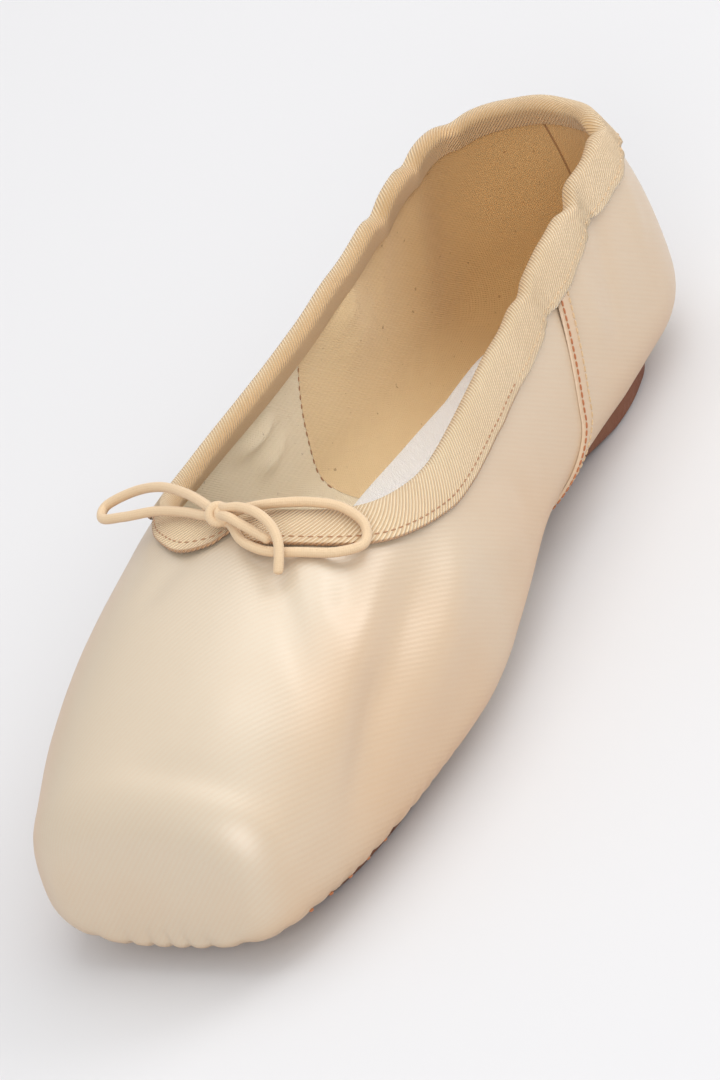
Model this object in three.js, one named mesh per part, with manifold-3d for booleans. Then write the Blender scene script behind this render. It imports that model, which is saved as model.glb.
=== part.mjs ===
// Pointe shoe on a straight last, empty and standing on its sole.
// Millimetres. While modelling, x runs from the back of the heel to the toe, y to the wearer's left, z up.

import * as THREE from 'three';
import { mergeVertices } from 'three/addons/utils/BufferGeometryUtils.js';
import Module from 'manifold-3d';

const wasm = await Module();
wasm.setup();

// Driving sizes of the last
const shoeLength = 236;
const ballWidth = 85;
const instepHeight = 61;
const heelHeight = 58;
const archHeight = 5.6;
const soleThick = 2.6;
const fitGap = 0.3;
const innerGap = 0.5;

// Heel turn, platform edge and throat
const heelCentre = 30;
const heelTurnPower = 2.2;
const toeRound = 8;
const platformLean = 0.1;
const platformBulge = 0.7;
const leanFrom = 195;
const leanLevel = 12;
const throatX = 162;
const throatReach = 27;
const throatDrop = 7;

// Cross sections: x is a share of the length, half of half the ball width, crown of the instep height
const sections = [
  { x: 0.127, half: 0.69, widest: 21, crown: 1.25, low: 3.0, up: 2.3 },
  { x: 0.263, half: 0.72, widest: 22, crown: 1.21, low: 3.0, up: 2.2 },
  { x: 0.424, half: 0.79, widest: 22, crown: 1.15, low: 3.0, up: 2.2 },
  { x: 0.559, half: 0.92, widest: 20, crown: 1.07, low: 3.4, up: 2.2 },
  { x: 0.678, half: 1.0, widest: 19, crown: 1.0, low: 3.8, up: 2.2 },
  { x: 0.788, half: 0.955, widest: 18.5, crown: 0.93, low: 3.8, up: 2.3 },
  { x: 0.881, half: 0.87, widest: 18, crown: 0.82, low: 3.6, up: 2.4 },
  { x: 0.966, half: 0.74, widest: 18, crown: 0.69, low: 3.2, up: 2.5 },
  { x: 1.0, half: 0.685, widest: 18, crown: 0.635, low: 3.0, up: 2.6 },
].map((row) => ({
  ...row,
  x: row.x * shoeLength,
  half: row.half * ballWidth / 2,
  crown: row.crown * instepHeight,
}));
const heelBack = { widest: 22, crown: 82, low: 2.4, up: 2.0 };

// Rise of the last's underside above its two flats, as shares of the arch height
const underside = [
  { x: 52, rise: 0 },
  { x: 72, rise: 0.45 },
  { x: 100, rise: 1 },
  { x: 124, rise: 0.55 },
  { x: 146, rise: 0 },
  { x: 212, rise: 0 },
  { x: 228, rise: 0.2 },
].map((row) => ({ x: row.x, rise: row.rise * archHeight }));

// Height of the collar's edge along the shoe, as a share of its height at the heel
const collarLine = [
  { x: 0, height: 1.0 },
  { x: 30, height: 0.985 },
  { x: 60, height: 0.935 },
  { x: 95, height: 0.89 },
  { x: 130, height: 0.88 },
  { x: 150, height: 0.92 },
  { x: 162, height: 0.955 },
].map((row) => ({ x: row.x, height: row.height * heelHeight }));

// Wall of satin, canvas and paste, thickest in the toe box
const wall = [
  { x: 0, thick: 1.6 },
  { x: 125, thick: 1.5 },
  { x: 155, thick: 1.8 },
  { x: 195, thick: 2.9 },
  { x: 236, thick: 3.2 },
];

// Outlines seen from below, as half widths
const soleOutline = [
  { x: 16, half: 4 },
  { x: 18, half: 9.5 },
  { x: 24, half: 16.5 },
  { x: 34, half: 21 },
  { x: 46, half: 22.5 },
  { x: 75, half: 20 },
  { x: 106, half: 17.5 },
  { x: 130, half: 22 },
  { x: 158, half: 30.5 },
  { x: 180, half: 31 },
  { x: 200, half: 28.5 },
  { x: 214, half: 23.5 },
  { x: 223, half: 15 },
  { x: 227, half: 6 },
];
const insoleOutline = [
  { x: 17, half: 4 },
  { x: 19, half: 9.5 },
  { x: 25, half: 15.5 },
  { x: 38, half: 19.5 },
  { x: 62, half: 20.5 },
  { x: 100, half: 21.5 },
  { x: 132, half: 26.5 },
  { x: 160, half: 30 },
  { x: 190, half: 28.5 },
  { x: 210, half: 24 },
  { x: 221, half: 16 },
  { x: 225, half: 7 },
];
const insoleThick = 1.4;
const soleBevel = 1.6;
const bevelFrom = 0.9;
const lastingMargin = 7;
const openingBack = 6;
const openingFront = 217;

// Binding tape over the collar, raised seams and heel strip
const tapeThick = 1;
const tapeOutside = 9;
const tapeInside = 5;
const tapeRoll = 1.1;
const tapePuff = 0.2;
const stripWidth = 13;
const stripThick = 0.8;
const seamWidth = 5.5;
const seamThick = 0.6;
const seamTopX = 64;
const seamSoleX = 108;
const seamClear = 1.2;

// Drawstring: a bow of thin cord at the throat
const cordWide = 2.2;
const knotCentre = { x: 167, y: 0, z: 64.6 };
const knotReach = { x: 3.2, y: 4.2, z: 2.5 };
const loopRoutes = {
  left: [
    { x: 167, y: 1, z: 64.4 },
    { x: 164.1, y: 5.3, z: 64.2 },
    { x: 161.2, y: 10.5, z: 63.1 },
    { x: 159, y: 16.9, z: 61.6 },
    { x: 157.9, y: 22.8, z: 59.4 },
    { x: 159.4, y: 27.8, z: 56.2 },
    { x: 163.2, y: 29, z: 54.3 },
    { x: 167.8, y: 25.6, z: 55.5 },
    { x: 171.2, y: 18.5, z: 58 },
    { x: 173, y: 11.8, z: 59.7 },
    { x: 171.6, y: 6, z: 61.3 },
    { x: 168.4, y: 2.4, z: 62.9 },
    { x: 167.3, y: 0.8, z: 64.2 },
  ],
  right: [
    { x: 167, y: -1, z: 64.4 },
    { x: 164.2, y: -5, z: 64.8 },
    { x: 159.6, y: -13, z: 64.6 },
    { x: 155.8, y: -22, z: 63.2 },
    { x: 154.8, y: -30.5, z: 60.8 },
    { x: 156.8, y: -36.6, z: 58.6 },
    { x: 160, y: -35.8, z: 58.2 },
    { x: 161.4, y: -29, z: 59.6 },
    { x: 161.8, y: -20, z: 61.4 },
    { x: 163.8, y: -11, z: 62.6 },
    { x: 166, y: -5, z: 63.4 },
    { x: 167.3, y: -1, z: 64.2 },
  ],
};
const endRoutes = {
  left: [
    { x: 167, y: 1.5, z: 65.6 },
    { x: 167, y: 5.2, z: 66.6 },
    { x: 168.6, y: 10, z: 66.2 },
    { x: 170.6, y: 13.8, z: 64.4 },
    { x: 173, y: 15.8, z: 62.2 },
    { x: 175.4, y: 16.4, z: 60 },
    { x: 177.4, y: 16.4, z: 57.9 },
  ],
  right: [
    { x: 168.2, y: 1, z: 65.4 },
    { x: 169.5, y: 3.6, z: 65.5 },
    { x: 170.2, y: 6.6, z: 64.2 },
    { x: 170.9, y: 9.6, z: 62.9 },
    { x: 171.6, y: 12.4, z: 61.7 },
  ],
};

// Mesh resolution
const lowRows = 5;
const highRows = 8;
const arcSamples = 48;
const heelSteps = 9;

// Monotone cubic through one named column of a table
function along(table, column, x) {
  const end = table.length - 1;
  if (x <= table[0].x) return table[0][column];
  if (x >= table[end].x) return table[end][column];
  let row = 0;
  while (x > table[row + 1].x) row += 1;
  const slope = (k) => (table[k + 1][column] - table[k][column]) / (table[k + 1].x - table[k].x);
  const tangent = (k) => {
    if (k === 0) return slope(0);
    if (k === end) return slope(end - 1);
    const before = slope(k - 1);
    const after = slope(k);
    if (before * after <= 0) return 0;
    const behind = table[k].x - table[k - 1].x;
    const ahead = table[k + 1].x - table[k].x;
    const first = 2 * ahead + behind;
    const second = ahead + 2 * behind;
    return (first + second) / (first / before + second / after);
  };
  const span = table[row + 1].x - table[row].x;
  const t = (x - table[row].x) / span;
  const a = table[row][column] * (1 + 2 * t) * (1 - t) ** 2 + span * tangent(row) * t * (1 - t) ** 2;
  const b = table[row + 1][column] * t * t * (3 - 2 * t) + span * tangent(row + 1) * t * t * (t - 1);
  return a + b;
}

const smooth = (t) => t * t * (3 - 2 * t);
const clamp = (t) => Math.min(1, Math.max(0, t));
const flatLevel = soleThick + fitGap;

// The last: one rib of two half superellipses at a place x along the shoe, or at a turn round the heel
function bodyRib(x) {
  const round = clamp((x - shoeLength + toeRound) / toeRound);
  const drawnIn = toeRound * (1 - Math.sqrt(1 - round * round));
  return {
    half: along(sections, 'half', x) - drawnIn,
    floor: flatLevel + along(underside, 'rise', x) + 0.45 * drawnIn,
    widest: along(sections, 'widest', x),
    crown: along(sections, 'crown', x) - 0.95 * drawnIn,
    low: along(sections, 'low', x),
    up: along(sections, 'up', x),
  };
}

function heelRib(turn) {
  const side = bodyRib(heelCentre);
  const k = Math.sin(turn) ** 2;
  const reach = (Math.cos(turn) / side.half) ** heelTurnPower + (Math.sin(turn) / heelCentre) ** heelTurnPower;
  const mix = (from, to) => from + (to - from) * k;
  return {
    half: reach ** (-1 / heelTurnPower),
    floor: side.floor,
    widest: mix(side.widest, heelBack.widest),
    crown: mix(side.crown, heelBack.crown),
    low: mix(side.low, heelBack.low),
    up: mix(side.up, heelBack.up),
  };
}

const ribAt = (station) => (station.turn ? heelRib(station.turn) : bodyRib(station.x));
const bodyAt = (x) => ({ x, turn: 0 });
const heelAt = (turn) => ({ x: heelCentre * (1 - Math.sin(turn)), turn });

// Sweep along a rib: 0 under the centre of the foot, 1 at the widest level, 2 at the crown
function onRib(rib, sweep) {
  const angle = (sweep < 1 ? sweep : sweep - 1) * Math.PI / 2;
  const sine = Math.max(0, Math.sin(angle));
  const cosine = Math.max(0, Math.cos(angle));
  if (sweep < 1) {
    const power = 2 / rib.low;
    return { r: rib.half * sine ** power, z: rib.widest - (rib.widest - rib.floor) * cosine ** power };
  }
  const power = 2 / rib.up;
  return { r: rib.half * cosine ** power, z: rib.widest + (rib.crown - rib.widest) * sine ** power };
}

const sweepAtWidth = (rib, r) => Math.asin(clamp(r / rib.half) ** (rib.low / 2)) * 2 / Math.PI;
const sweepAtHeight = (rib, z) => {
  const share = clamp((z - rib.widest) / (rib.crown - rib.widest));
  return 1 + Math.asin(share ** (rib.up / 2)) * 2 / Math.PI;
};

function place(station, r, z) {
  if (station.turn) {
    return new THREE.Vector3(heelCentre - r * Math.sin(station.turn), r * Math.cos(station.turn), z);
  }
  const share = smooth(clamp((station.x - leanFrom) / (shoeLength - leanFrom)));
  return new THREE.Vector3(station.x - platformLean * (z - leanLevel) * share, r, z);
}

// Points spread evenly along a rib between two sweeps
function evenly(rib, from, to, count) {
  const path = [];
  const lengths = [0];
  for (let i = 0; i <= arcSamples; i += 1) {
    path.push(onRib(rib, from + (to - from) * i / arcSamples));
    if (i > 0) lengths.push(lengths[i - 1] + Math.hypot(path[i].r - path[i - 1].r, path[i].z - path[i - 1].z));
  }
  const points = [];
  let k = 0;
  for (let i = 0; i <= count; i += 1) {
    const want = lengths[arcSamples] * i / count;
    while (k < arcSamples - 1 && lengths[k + 1] < want) k += 1;
    const t = clamp((want - lengths[k]) / Math.max(lengths[k + 1] - lengths[k], 1e-9));
    points.push({
      r: path[k].r + (path[k + 1].r - path[k].r) * t,
      z: path[k].z + (path[k + 1].z - path[k].z) * t,
    });
  }
  return points;
}

// Underside of the last at a point of the plan
function floorAt(x, y) {
  const inHeel = x < heelCentre;
  const station = inHeel ? heelAt(Math.atan2(heelCentre - x, Math.abs(y))) : bodyAt(x);
  const rib = ribAt(station);
  const r = inHeel ? Math.hypot(heelCentre - x, y) : Math.abs(y);
  return onRib(rib, Math.min(sweepAtWidth(rib, r), 0.999)).z;
}

// How far a point lies outside the last, as a share of its size, and the way out from there
function gauge(p) {
  const inHeel = p.x < heelCentre;
  const rib = inHeel ? heelRib(Math.atan2(heelCentre - p.x, Math.abs(p.y))) : bodyRib(p.x);
  const r = inHeel ? Math.hypot(heelCentre - p.x, p.y) : Math.abs(p.y);
  const above = p.z > rib.widest;
  const power = above ? rib.up : rib.low;
  const rise = above ? (p.z - rib.widest) / (rib.crown - rib.widest) : (rib.widest - p.z) / (rib.widest - rib.floor);
  return ((r / rib.half) ** power + rise ** power) ** (1 / power) - 1;
}

function wayOut(p) {
  const step = 0.05;
  const slope = (axis) => {
    const ahead = p.clone();
    const behind = p.clone();
    ahead[axis] += step;
    behind[axis] -= step;
    return (gauge(ahead) - gauge(behind)) / (2 * step);
  };
  return new THREE.Vector3(slope('x'), slope('y'), slope('z'));
}

function ontoLast(p) {
  const q = p.clone();
  for (let i = 0; i < 6; i += 1) {
    const out = wayOut(q);
    q.addScaledVector(out, -gauge(q) / out.lengthSq());
  }
  return q;
}

// A surface of shared points and triangles
class Surface {
  constructor() {
    this.points = [];
    this.places = new Map();
    this.faces = [];
  }

  point(p) {
    const key = [p.x, p.y, p.z].map((value) => Math.round(value * 500)).join();
    if (!this.places.has(key)) {
      this.places.set(key, this.points.length);
      this.points.push(p.clone());
    }
    return this.places.get(key);
  }

  face(a, b, c) {
    if (a !== b && b !== c && c !== a) this.faces.push([a, b, c]);
  }

  quad(a, b, c, d) {
    this.face(a, b, c);
    this.face(a, c, d);
  }

  // Rows of points, each row the next strip's edge; flip turns the faces over
  grid(rows, flip) {
    const index = rows.map((row) => row.map((p) => this.point(p)));
    for (let i = 0; i + 1 < index.length; i += 1) {
      for (let j = 0; j + 1 < index[i].length; j += 1) {
        const near = [index[i][j], index[i][j + 1]];
        const far = [index[i + 1][j], index[i + 1][j + 1]];
        if (flip) this.quad(near[0], near[1], far[1], far[0]);
        else this.quad(near[0], far[0], far[1], near[1]);
      }
    }
    return this;
  }

  // The last's own normals where its function gives them, and the faces' mean in the toe
  normals() {
    const normals = this.points.map(() => new THREE.Vector3());
    this.faces.forEach((face) => {
      const [a, b, c] = face.map((k) => this.points[k]);
      const area = b.clone().sub(a).cross(c.clone().sub(a));
      face.forEach((k) => normals[k].add(area));
    });
    return normals.map((n, k) => (this.points[k].x < leanFrom ? wayOut(this.points[k]) : n).normalize());
  }

  geometry() {
    const shape = new THREE.BufferGeometry();
    shape.setAttribute('position', new THREE.Float32BufferAttribute(this.points.flatMap((p) => p.toArray()), 3));
    shape.setIndex(this.faces.flat());
    return shape;
  }
}

// A closed solid between two offsets of an open surface, stitched along its free edges
function shell(surface, nearOffset, farOffset) {
  const normals = surface.normals();
  const count = surface.points.length;
  const solid = new Surface();
  const offset = (amount) => surface.points.map((p, k) => p.clone().addScaledVector(normals[k], amount(p)));
  solid.points = [...offset(farOffset), ...offset(nearOffset)];
  const edges = new Set();
  surface.faces.forEach(([a, b, c]) => {
    solid.face(a, b, c);
    solid.face(a + count, c + count, b + count);
    [[a, b], [b, c], [c, a]].forEach(([from, to]) => edges.add(`${from}_${to}`));
  });
  edges.forEach((key) => {
    const [from, to] = key.split('_').map(Number);
    if (!edges.has(`${to}_${from}`)) solid.quad(to, from, from + count, to + count);
  });
  return solid.geometry();
}

const mirrored = (rows) => rows.map((row) => row.map((p) => new THREE.Vector3(p.x, -p.y, p.z)));
const spread = (from, to, count) => Array.from({ length: count + 1 }, (_, i) => from + (to - from) * i / count);

// Height of the collar's edge at a station behind the throat
function collarHeight(station) {
  const rib = ribAt(station);
  const lip = Math.exp(-(throatX - station.x) / throatDrop);
  const rise = along(sections, 'crown', throatX) - along(collarLine, 'height', throatX);
  return Math.min(along(collarLine, 'height', station.x) + rise * lip, rib.crown);
}

// Opening under the foot, inside the lasting margin
function openingAt(station) {
  const half = (x) => along(soleOutline, 'half', x) - lastingMargin;
  if (station.turn) {
    return 1 / Math.hypot(Math.cos(station.turn) / half(heelCentre), Math.sin(station.turn) / openingBack);
  }
  if (station.x >= openingFront) return 0;
  const nose = clamp((openingFront - station.x) / lastingMargin);
  return half(station.x) * Math.sqrt(1 - (1 - nose) ** 2);
}

// Stations from the platform back to the heel
const stations = [
  ...spread(Math.PI / 2, 0, 4).map((a) => bodyAt(shoeLength - toeRound + toeRound * Math.sin(a))),
  ...spread(shoeLength - toeRound, openingFront, 3).slice(1).map(bodyAt),
  ...[openingFront - 0.6, openingFront - 2.5].map(bodyAt),
  ...spread(openingFront - lastingMargin, throatX, 8).map(bodyAt),
  ...spread(0, 1, 8).slice(1).map((t) => bodyAt(throatX - throatReach * t ** 2)),
  ...spread(throatX - throatReach, heelCentre, 14).slice(1).map(bodyAt),
  ...spread(0, Math.PI / 2, heelSteps).slice(1).map(heelAt),
];
const collarStations = stations.filter((station) => station.x < throatX);

function upperRib(station) {
  const rib = ribAt(station);
  const open = station.x < throatX;
  const top = open ? sweepAtHeight(rib, collarHeight(station)) : 2;
  const low = evenly(rib, sweepAtWidth(rib, openingAt(station)), 1, lowRows);
  const high = evenly(rib, 1, top, highRows);
  return [...low, ...high.slice(1)].map(({ r, z }) => place(station, r, z));
}

function upper() {
  const front = upperRib(stations[0]);
  const middle = front[0].clone().lerp(front[front.length - 1], 0.5);
  const platform = [0, 0.4, 0.75].map((share) => front.map((p) => {
    const inner = middle.clone().lerp(p, share);
    inner.x += platformBulge * (1 - share * share);
    return inner;
  }));
  const rows = [...platform, ...stations.map(upperRib)];
  const skin = new Surface().grid(rows, false).grid(mirrored(rows), true);
  return shell(skin, (p) => -along(wall, 'thick', p.x), () => 0);
}

// A plate between two heights, over an outline given by its half widths
function plate(outline, under, over) {
  const shares = [-1, -bevelFrom, -0.7, -0.35, 0, 0.35, 0.7, bevelFrom, 1];
  const lengthSteps = 30;
  const first = outline[0].x;
  const span = outline[outline.length - 1].x - first;
  const xs = spread(0, Math.PI, lengthSteps).map((a) => first + span * (1 - Math.cos(a)) / 2);
  const rows = (height) => xs.map((x) => shares.map((share) => {
    const y = share * along(outline, 'half', x);
    return new THREE.Vector3(x, y, height(x, y, share));
  }));
  const low = rows(under);
  const high = rows(over);
  const edge = (row) => [row[0], row[row.length - 1]];
  const solid = new Surface().grid(high, false).grid(low, true);
  [0, 1].forEach((side) => {
    const strip = [low, high].map((layer) => layer.map((row) => edge(row)[side]));
    solid.grid(strip, side === 0);
  });
  solid.grid([low[0], high[0]], false);
  solid.grid([low[xs.length - 1], high[xs.length - 1]], true);
  return solid.geometry();
}

function outsole() {
  const under = (x, y, share) => {
    const bevel = soleBevel * clamp((Math.abs(share) - bevelFrom) / (1 - bevelFrom));
    return along(underside, 'rise', x) + bevel;
  };
  return plate(soleOutline, under, (x, y) => floorAt(x, y) - fitGap);
}

function insole() {
  const under = (x, y) => floorAt(x, y) + along(wall, 'thick', x) + innerGap;
  return plate(insoleOutline, under, (x, y) => under(x, y) + insoleThick);
}

// Tape folded over the collar: a channel swept along the collar's edge
function collarBinding() {
  const side = collarStations.map((station) => {
    const rib = ribAt(station);
    const { r, z } = onRib(rib, sweepAtHeight(rib, collarHeight(station)));
    return place(station, r, z);
  });
  const front = place(bodyAt(throatX), 0, along(sections, 'crown', throatX));
  const edge = [front, ...side];
  edge[edge.length - 1].y = 0;
  const across = (p) => new THREE.Vector3(p.x, -p.y, p.z);
  const rings = edge.map((p, k) => {
    const ahead = edge[k + 1] ?? across(edge[k - 1]);
    const behind = edge[k - 1] ?? across(edge[k + 1]);
    const out = wayOut(p).normalize();
    const up = out.clone().cross(ahead.clone().sub(behind)).normalize();
    return channel(p, out, up);
  });
  return new Surface().grid(rings, false).grid(mirrored(rings), true).geometry();
}

function channel(p, out, up) {
  const inner = -along(wall, 'thick', p.x);
  const outFace = fitGap + tapeThick;
  const inFace = inner - innerGap - tapeThick;
  const corners = [
    { down: tapeOutside, off: fitGap },
    { down: tapeOutside, off: outFace },
    { down: tapeOutside / 2, off: outFace + tapePuff },
    { down: 0, off: outFace + tapePuff / 2 },
    { down: -tapeRoll, off: outFace / 2 },
    { down: -tapeRoll - fitGap, off: (outFace + inFace) / 2 },
    { down: -tapeRoll, off: (inner + inFace) / 2 },
    { down: 0, off: inFace - tapePuff / 2 },
    { down: tapeInside / 2, off: inFace - tapePuff },
    { down: tapeInside, off: inFace },
    { down: tapeInside, off: inner - innerGap },
    { down: tapeInside / 2, off: inner - innerGap },
    { down: -fitGap, off: inner - innerGap },
    { down: -fitGap, off: fitGap },
    { down: tapeOutside / 2, off: fitGap },
  ];
  const ring = corners.map(({ down, off }) => {
    if (down <= 0) return p.clone().addScaledVector(up, -down).addScaledVector(out, off);
    const foot = ontoLast(p.clone().addScaledVector(up, -down));
    return foot.addScaledVector(wayOut(foot).normalize(), off);
  });
  return [...ring, ring[0]];
}

// Strip over the back seam, from the end of the sole to the binding
function heelStrip() {
  const back = heelRib(Math.PI / 2);
  const startReach = heelCentre - soleOutline[0].x + seamClear;
  const topHeight = along(collarLine, 'height', 0) - tapeOutside - seamClear;
  const path = [
    ...evenly(back, sweepAtWidth(back, startReach), 1, 5),
    ...evenly(back, 1, sweepAtHeight(back, topHeight), 6).slice(1),
  ];
  const rows = path.map(({ r, z }) => spread(-1, 1, 4).map((share) => {
    const turn = Math.PI / 2 - Math.asin(share * stripWidth / 2 / r);
    const rib = heelRib(Math.min(turn, Math.PI - turn));
    const sweep = z > back.widest ? sweepAtHeight(rib, z) : sweepAtWidth(rib, r * rib.half / back.half);
    const spot = onRib(rib, sweep);
    return new THREE.Vector3(heelCentre - spot.r * Math.sin(turn), spot.r * Math.cos(turn), spot.z);
  }));
  const skin = new Surface().grid(rows, false);
  return shell(skin, () => fitGap, () => fitGap + stripThick);
}

// Raised seam between vamp and quarter, slanting from the binding down to the sole's waist
function sideSeam(side) {
  const lowest = along(soleOutline, 'half', seamSoleX) + seamClear;
  const topRib = bodyRib(seamTopX);
  const topHeight = along(collarLine, 'height', seamTopX) - tapeOutside - seamClear;
  const topSweep = sweepAtHeight(topRib, topHeight);
  const lowSweep = sweepAtWidth(bodyRib(seamSoleX), lowest);
  const rows = spread(0, 1, 12).map((t) => spread(-1, 1, 2).map((share) => {
    const x = seamTopX + (seamSoleX - seamTopX) * t + share * seamWidth / 2;
    const { r, z } = onRib(bodyRib(x), topSweep + (lowSweep - topSweep) * t);
    return new THREE.Vector3(x, side * r, z);
  }));
  const skin = new Surface().grid(rows, side > 0);
  return shell(skin, () => fitGap, () => fitGap + seamThick);
}

// Solids of the drawstring, cut clear of its knot
function toSolid(shape) {
  const bare = shape.clone();
  bare.deleteAttribute('normal');
  bare.deleteAttribute('uv');
  const merged = mergeVertices(bare, 1e-4);
  const mesh = new wasm.Mesh({
    numProp: 3,
    vertProperties: new Float32Array(merged.attributes.position.array),
    triVerts: new Uint32Array(merged.index.array),
  });
  return new wasm.Manifold(mesh);
}

function toGeometry(solid) {
  const mesh = solid.getMesh();
  const shape = new THREE.BufferGeometry();
  shape.setAttribute('position', new THREE.BufferAttribute(new Float32Array(mesh.vertProperties), 3));
  shape.setIndex(new THREE.BufferAttribute(new Uint32Array(mesh.triVerts), 1));
  return shape;
}

function knotShape(grow) {
  const shape = new THREE.SphereGeometry(1, 14, 10);
  shape.scale(knotReach.x + grow, knotReach.y + grow, knotReach.z + grow);
  shape.translate(knotCentre.x, knotCentre.y, knotCentre.z);
  return shape;
}

function cord(route) {
  const points = route.map(({ x, y, z }) => new THREE.Vector3(x, y, z));
  const path = new THREE.CatmullRomCurve3(points);
  const round = new THREE.Shape().absarc(0, 0, cordWide / 2, 0, 2 * Math.PI, false);
  const steps = Math.ceil(path.getLength() / (2 * cordWide));
  const shape = new THREE.ExtrudeGeometry(round, { steps, curveSegments: 4, extrudePath: path });
  return toGeometry(toSolid(shape).subtract(toSolid(knotShape(fitGap))));
}

// Finishes
const finish = (color, roughness) => new THREE.MeshStandardMaterial({ color, roughness, metalness: 0 });
const satin = finish(0xdecdb2, 0.42);
const leather = finish(0x8a5339, 0.7);
const board = finish(0xd9d6ce, 0.85);
const tape = finish(0xeed6b4, 0.75);
const string = finish(0xe9d3b3, 0.65);

const pieces = [
  ['outsole', outsole(), leather],
  ['upper', upper(), satin],
  ['insole', insole(), board],
  ['collar_binding', collarBinding(), tape],
  ['heel_strip', heelStrip(), satin],
  ['side_seam_left', sideSeam(1), satin],
  ['side_seam_right', sideSeam(-1), satin],
  ['drawstring_knot', knotShape(0), string],
  ['drawstring_loop_left', cord(loopRoutes.left), string],
  ['drawstring_loop_right', cord(loopRoutes.right), string],
  ['drawstring_end_left', cord(endRoutes.left), string],
  ['drawstring_end_right', cord(endRoutes.right), string],
];

const shoe = new THREE.Group();
shoe.name = 'pointe_shoe';
pieces.forEach(([name, shape, material]) => {
  const mesh = new THREE.Mesh(shape, material);
  mesh.name = name;
  shoe.add(mesh);
});

// The shoe's own frame has its origin on the floor, midway along its length
const heelmost = -(fitGap + stripThick);
shoe.position.x = -(shoeLength + heelmost) / 2;

export default shoe;
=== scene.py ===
import math

import bpy
import numpy as np
from mathutils import Matrix, Vector


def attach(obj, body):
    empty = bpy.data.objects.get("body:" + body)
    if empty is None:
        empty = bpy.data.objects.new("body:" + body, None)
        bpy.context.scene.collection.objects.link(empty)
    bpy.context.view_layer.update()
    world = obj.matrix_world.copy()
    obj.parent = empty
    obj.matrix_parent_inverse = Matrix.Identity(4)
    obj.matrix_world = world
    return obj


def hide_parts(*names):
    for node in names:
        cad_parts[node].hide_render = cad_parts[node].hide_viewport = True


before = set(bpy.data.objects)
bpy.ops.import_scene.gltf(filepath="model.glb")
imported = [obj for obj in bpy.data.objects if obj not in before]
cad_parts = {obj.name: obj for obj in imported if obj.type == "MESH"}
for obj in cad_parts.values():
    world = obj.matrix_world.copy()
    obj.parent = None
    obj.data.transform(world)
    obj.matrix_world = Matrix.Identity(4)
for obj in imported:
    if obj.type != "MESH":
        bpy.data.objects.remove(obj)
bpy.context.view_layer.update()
scene = bpy.context.scene
print("frame loaded")

mm = 0.001
midLength = 117.45  # sizes below are in mm from the back of the heel, y to the left, z up


def toFrame(points):
    return (np.asarray(points, float) - (midLength, 0, 0)) * mm


# Camera at the photograph's angle
cameraSet = {
    "azimuth": 127.4,
    "elevation": 31.7,
    "roll": -21.8,
    "distance": 1.3027,
    "aim": (0.00055, 0.0, 0.025),
    "slide": (-0.0039, -0.0041),
    "lens": 201.5,
    "sensor": 36.0,
}


def makeCamera(spec):
    azimuth, elevation, roll = (math.radians(spec[k]) for k in ("azimuth", "elevation", "roll"))
    level = math.cos(elevation)
    back = Vector((math.sin(azimuth) * level, -math.cos(azimuth) * level, math.sin(elevation)))
    right = Vector((math.cos(azimuth), math.sin(azimuth), 0))
    up = back.cross(right)
    across = right * math.cos(roll) + up * math.sin(roll)
    upward = up * math.cos(roll) - right * math.sin(roll)
    eye = Vector(spec["aim"]) + back * spec["distance"]
    for way, far in zip((across, upward), spec["slide"]):
        eye += way * far
    data = bpy.data.cameras.new("camera")
    data.sensor_fit = "VERTICAL"
    data.sensor_height = spec["sensor"]
    data.lens = spec["lens"]
    camera = bpy.data.objects.new("camera", data)
    turned = Matrix((across, upward, back)).transposed().to_4x4()
    camera.matrix_world = Matrix.Translation(eye) @ turned
    scene.collection.objects.link(camera)
    scene.camera = camera


makeCamera(cameraSet)
print("camera set")


# Shader sums
def tint(red, green, blue):
    shares = [c / 255 for c in (red, green, blue)]
    return tuple(c / 12.92 if c < 0.04045 else ((c + 0.055) / 1.055) ** 2.4 for c in shares) + (1.0,)


def mathStep(operation, reflected=False):
    def step(self, other=0.0):
        first, second = (other, self) if reflected else (self, other)
        return self.finish.add("ShaderNodeMath", {"operation": operation}, {0: first, 1: second})
    return step


class Wire:
    def __init__(self, finish, socket):
        self.finish = finish
        self.socket = socket

    __add__ = mathStep("ADD")
    __radd__ = mathStep("ADD", True)
    __sub__ = mathStep("SUBTRACT")
    __rsub__ = mathStep("SUBTRACT", True)
    __mul__ = mathStep("MULTIPLY")
    __rmul__ = mathStep("MULTIPLY", True)
    __abs__ = mathStep("ABSOLUTE")
    least = mathStep("MINIMUM")
    most = mathStep("MAXIMUM")
    sine = mathStep("SINE")
    nearest = mathStep("ROUND")

    def rise(self, low, high):
        sockets = {"Value": self, "From Min": low, "From Max": high}
        return self.finish.add("ShaderNodeMapRange", {"interpolation_type": "SMOOTHSTEP"}, sockets)

    def within(self, low, high):
        return self.most(low).least(high)


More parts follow.
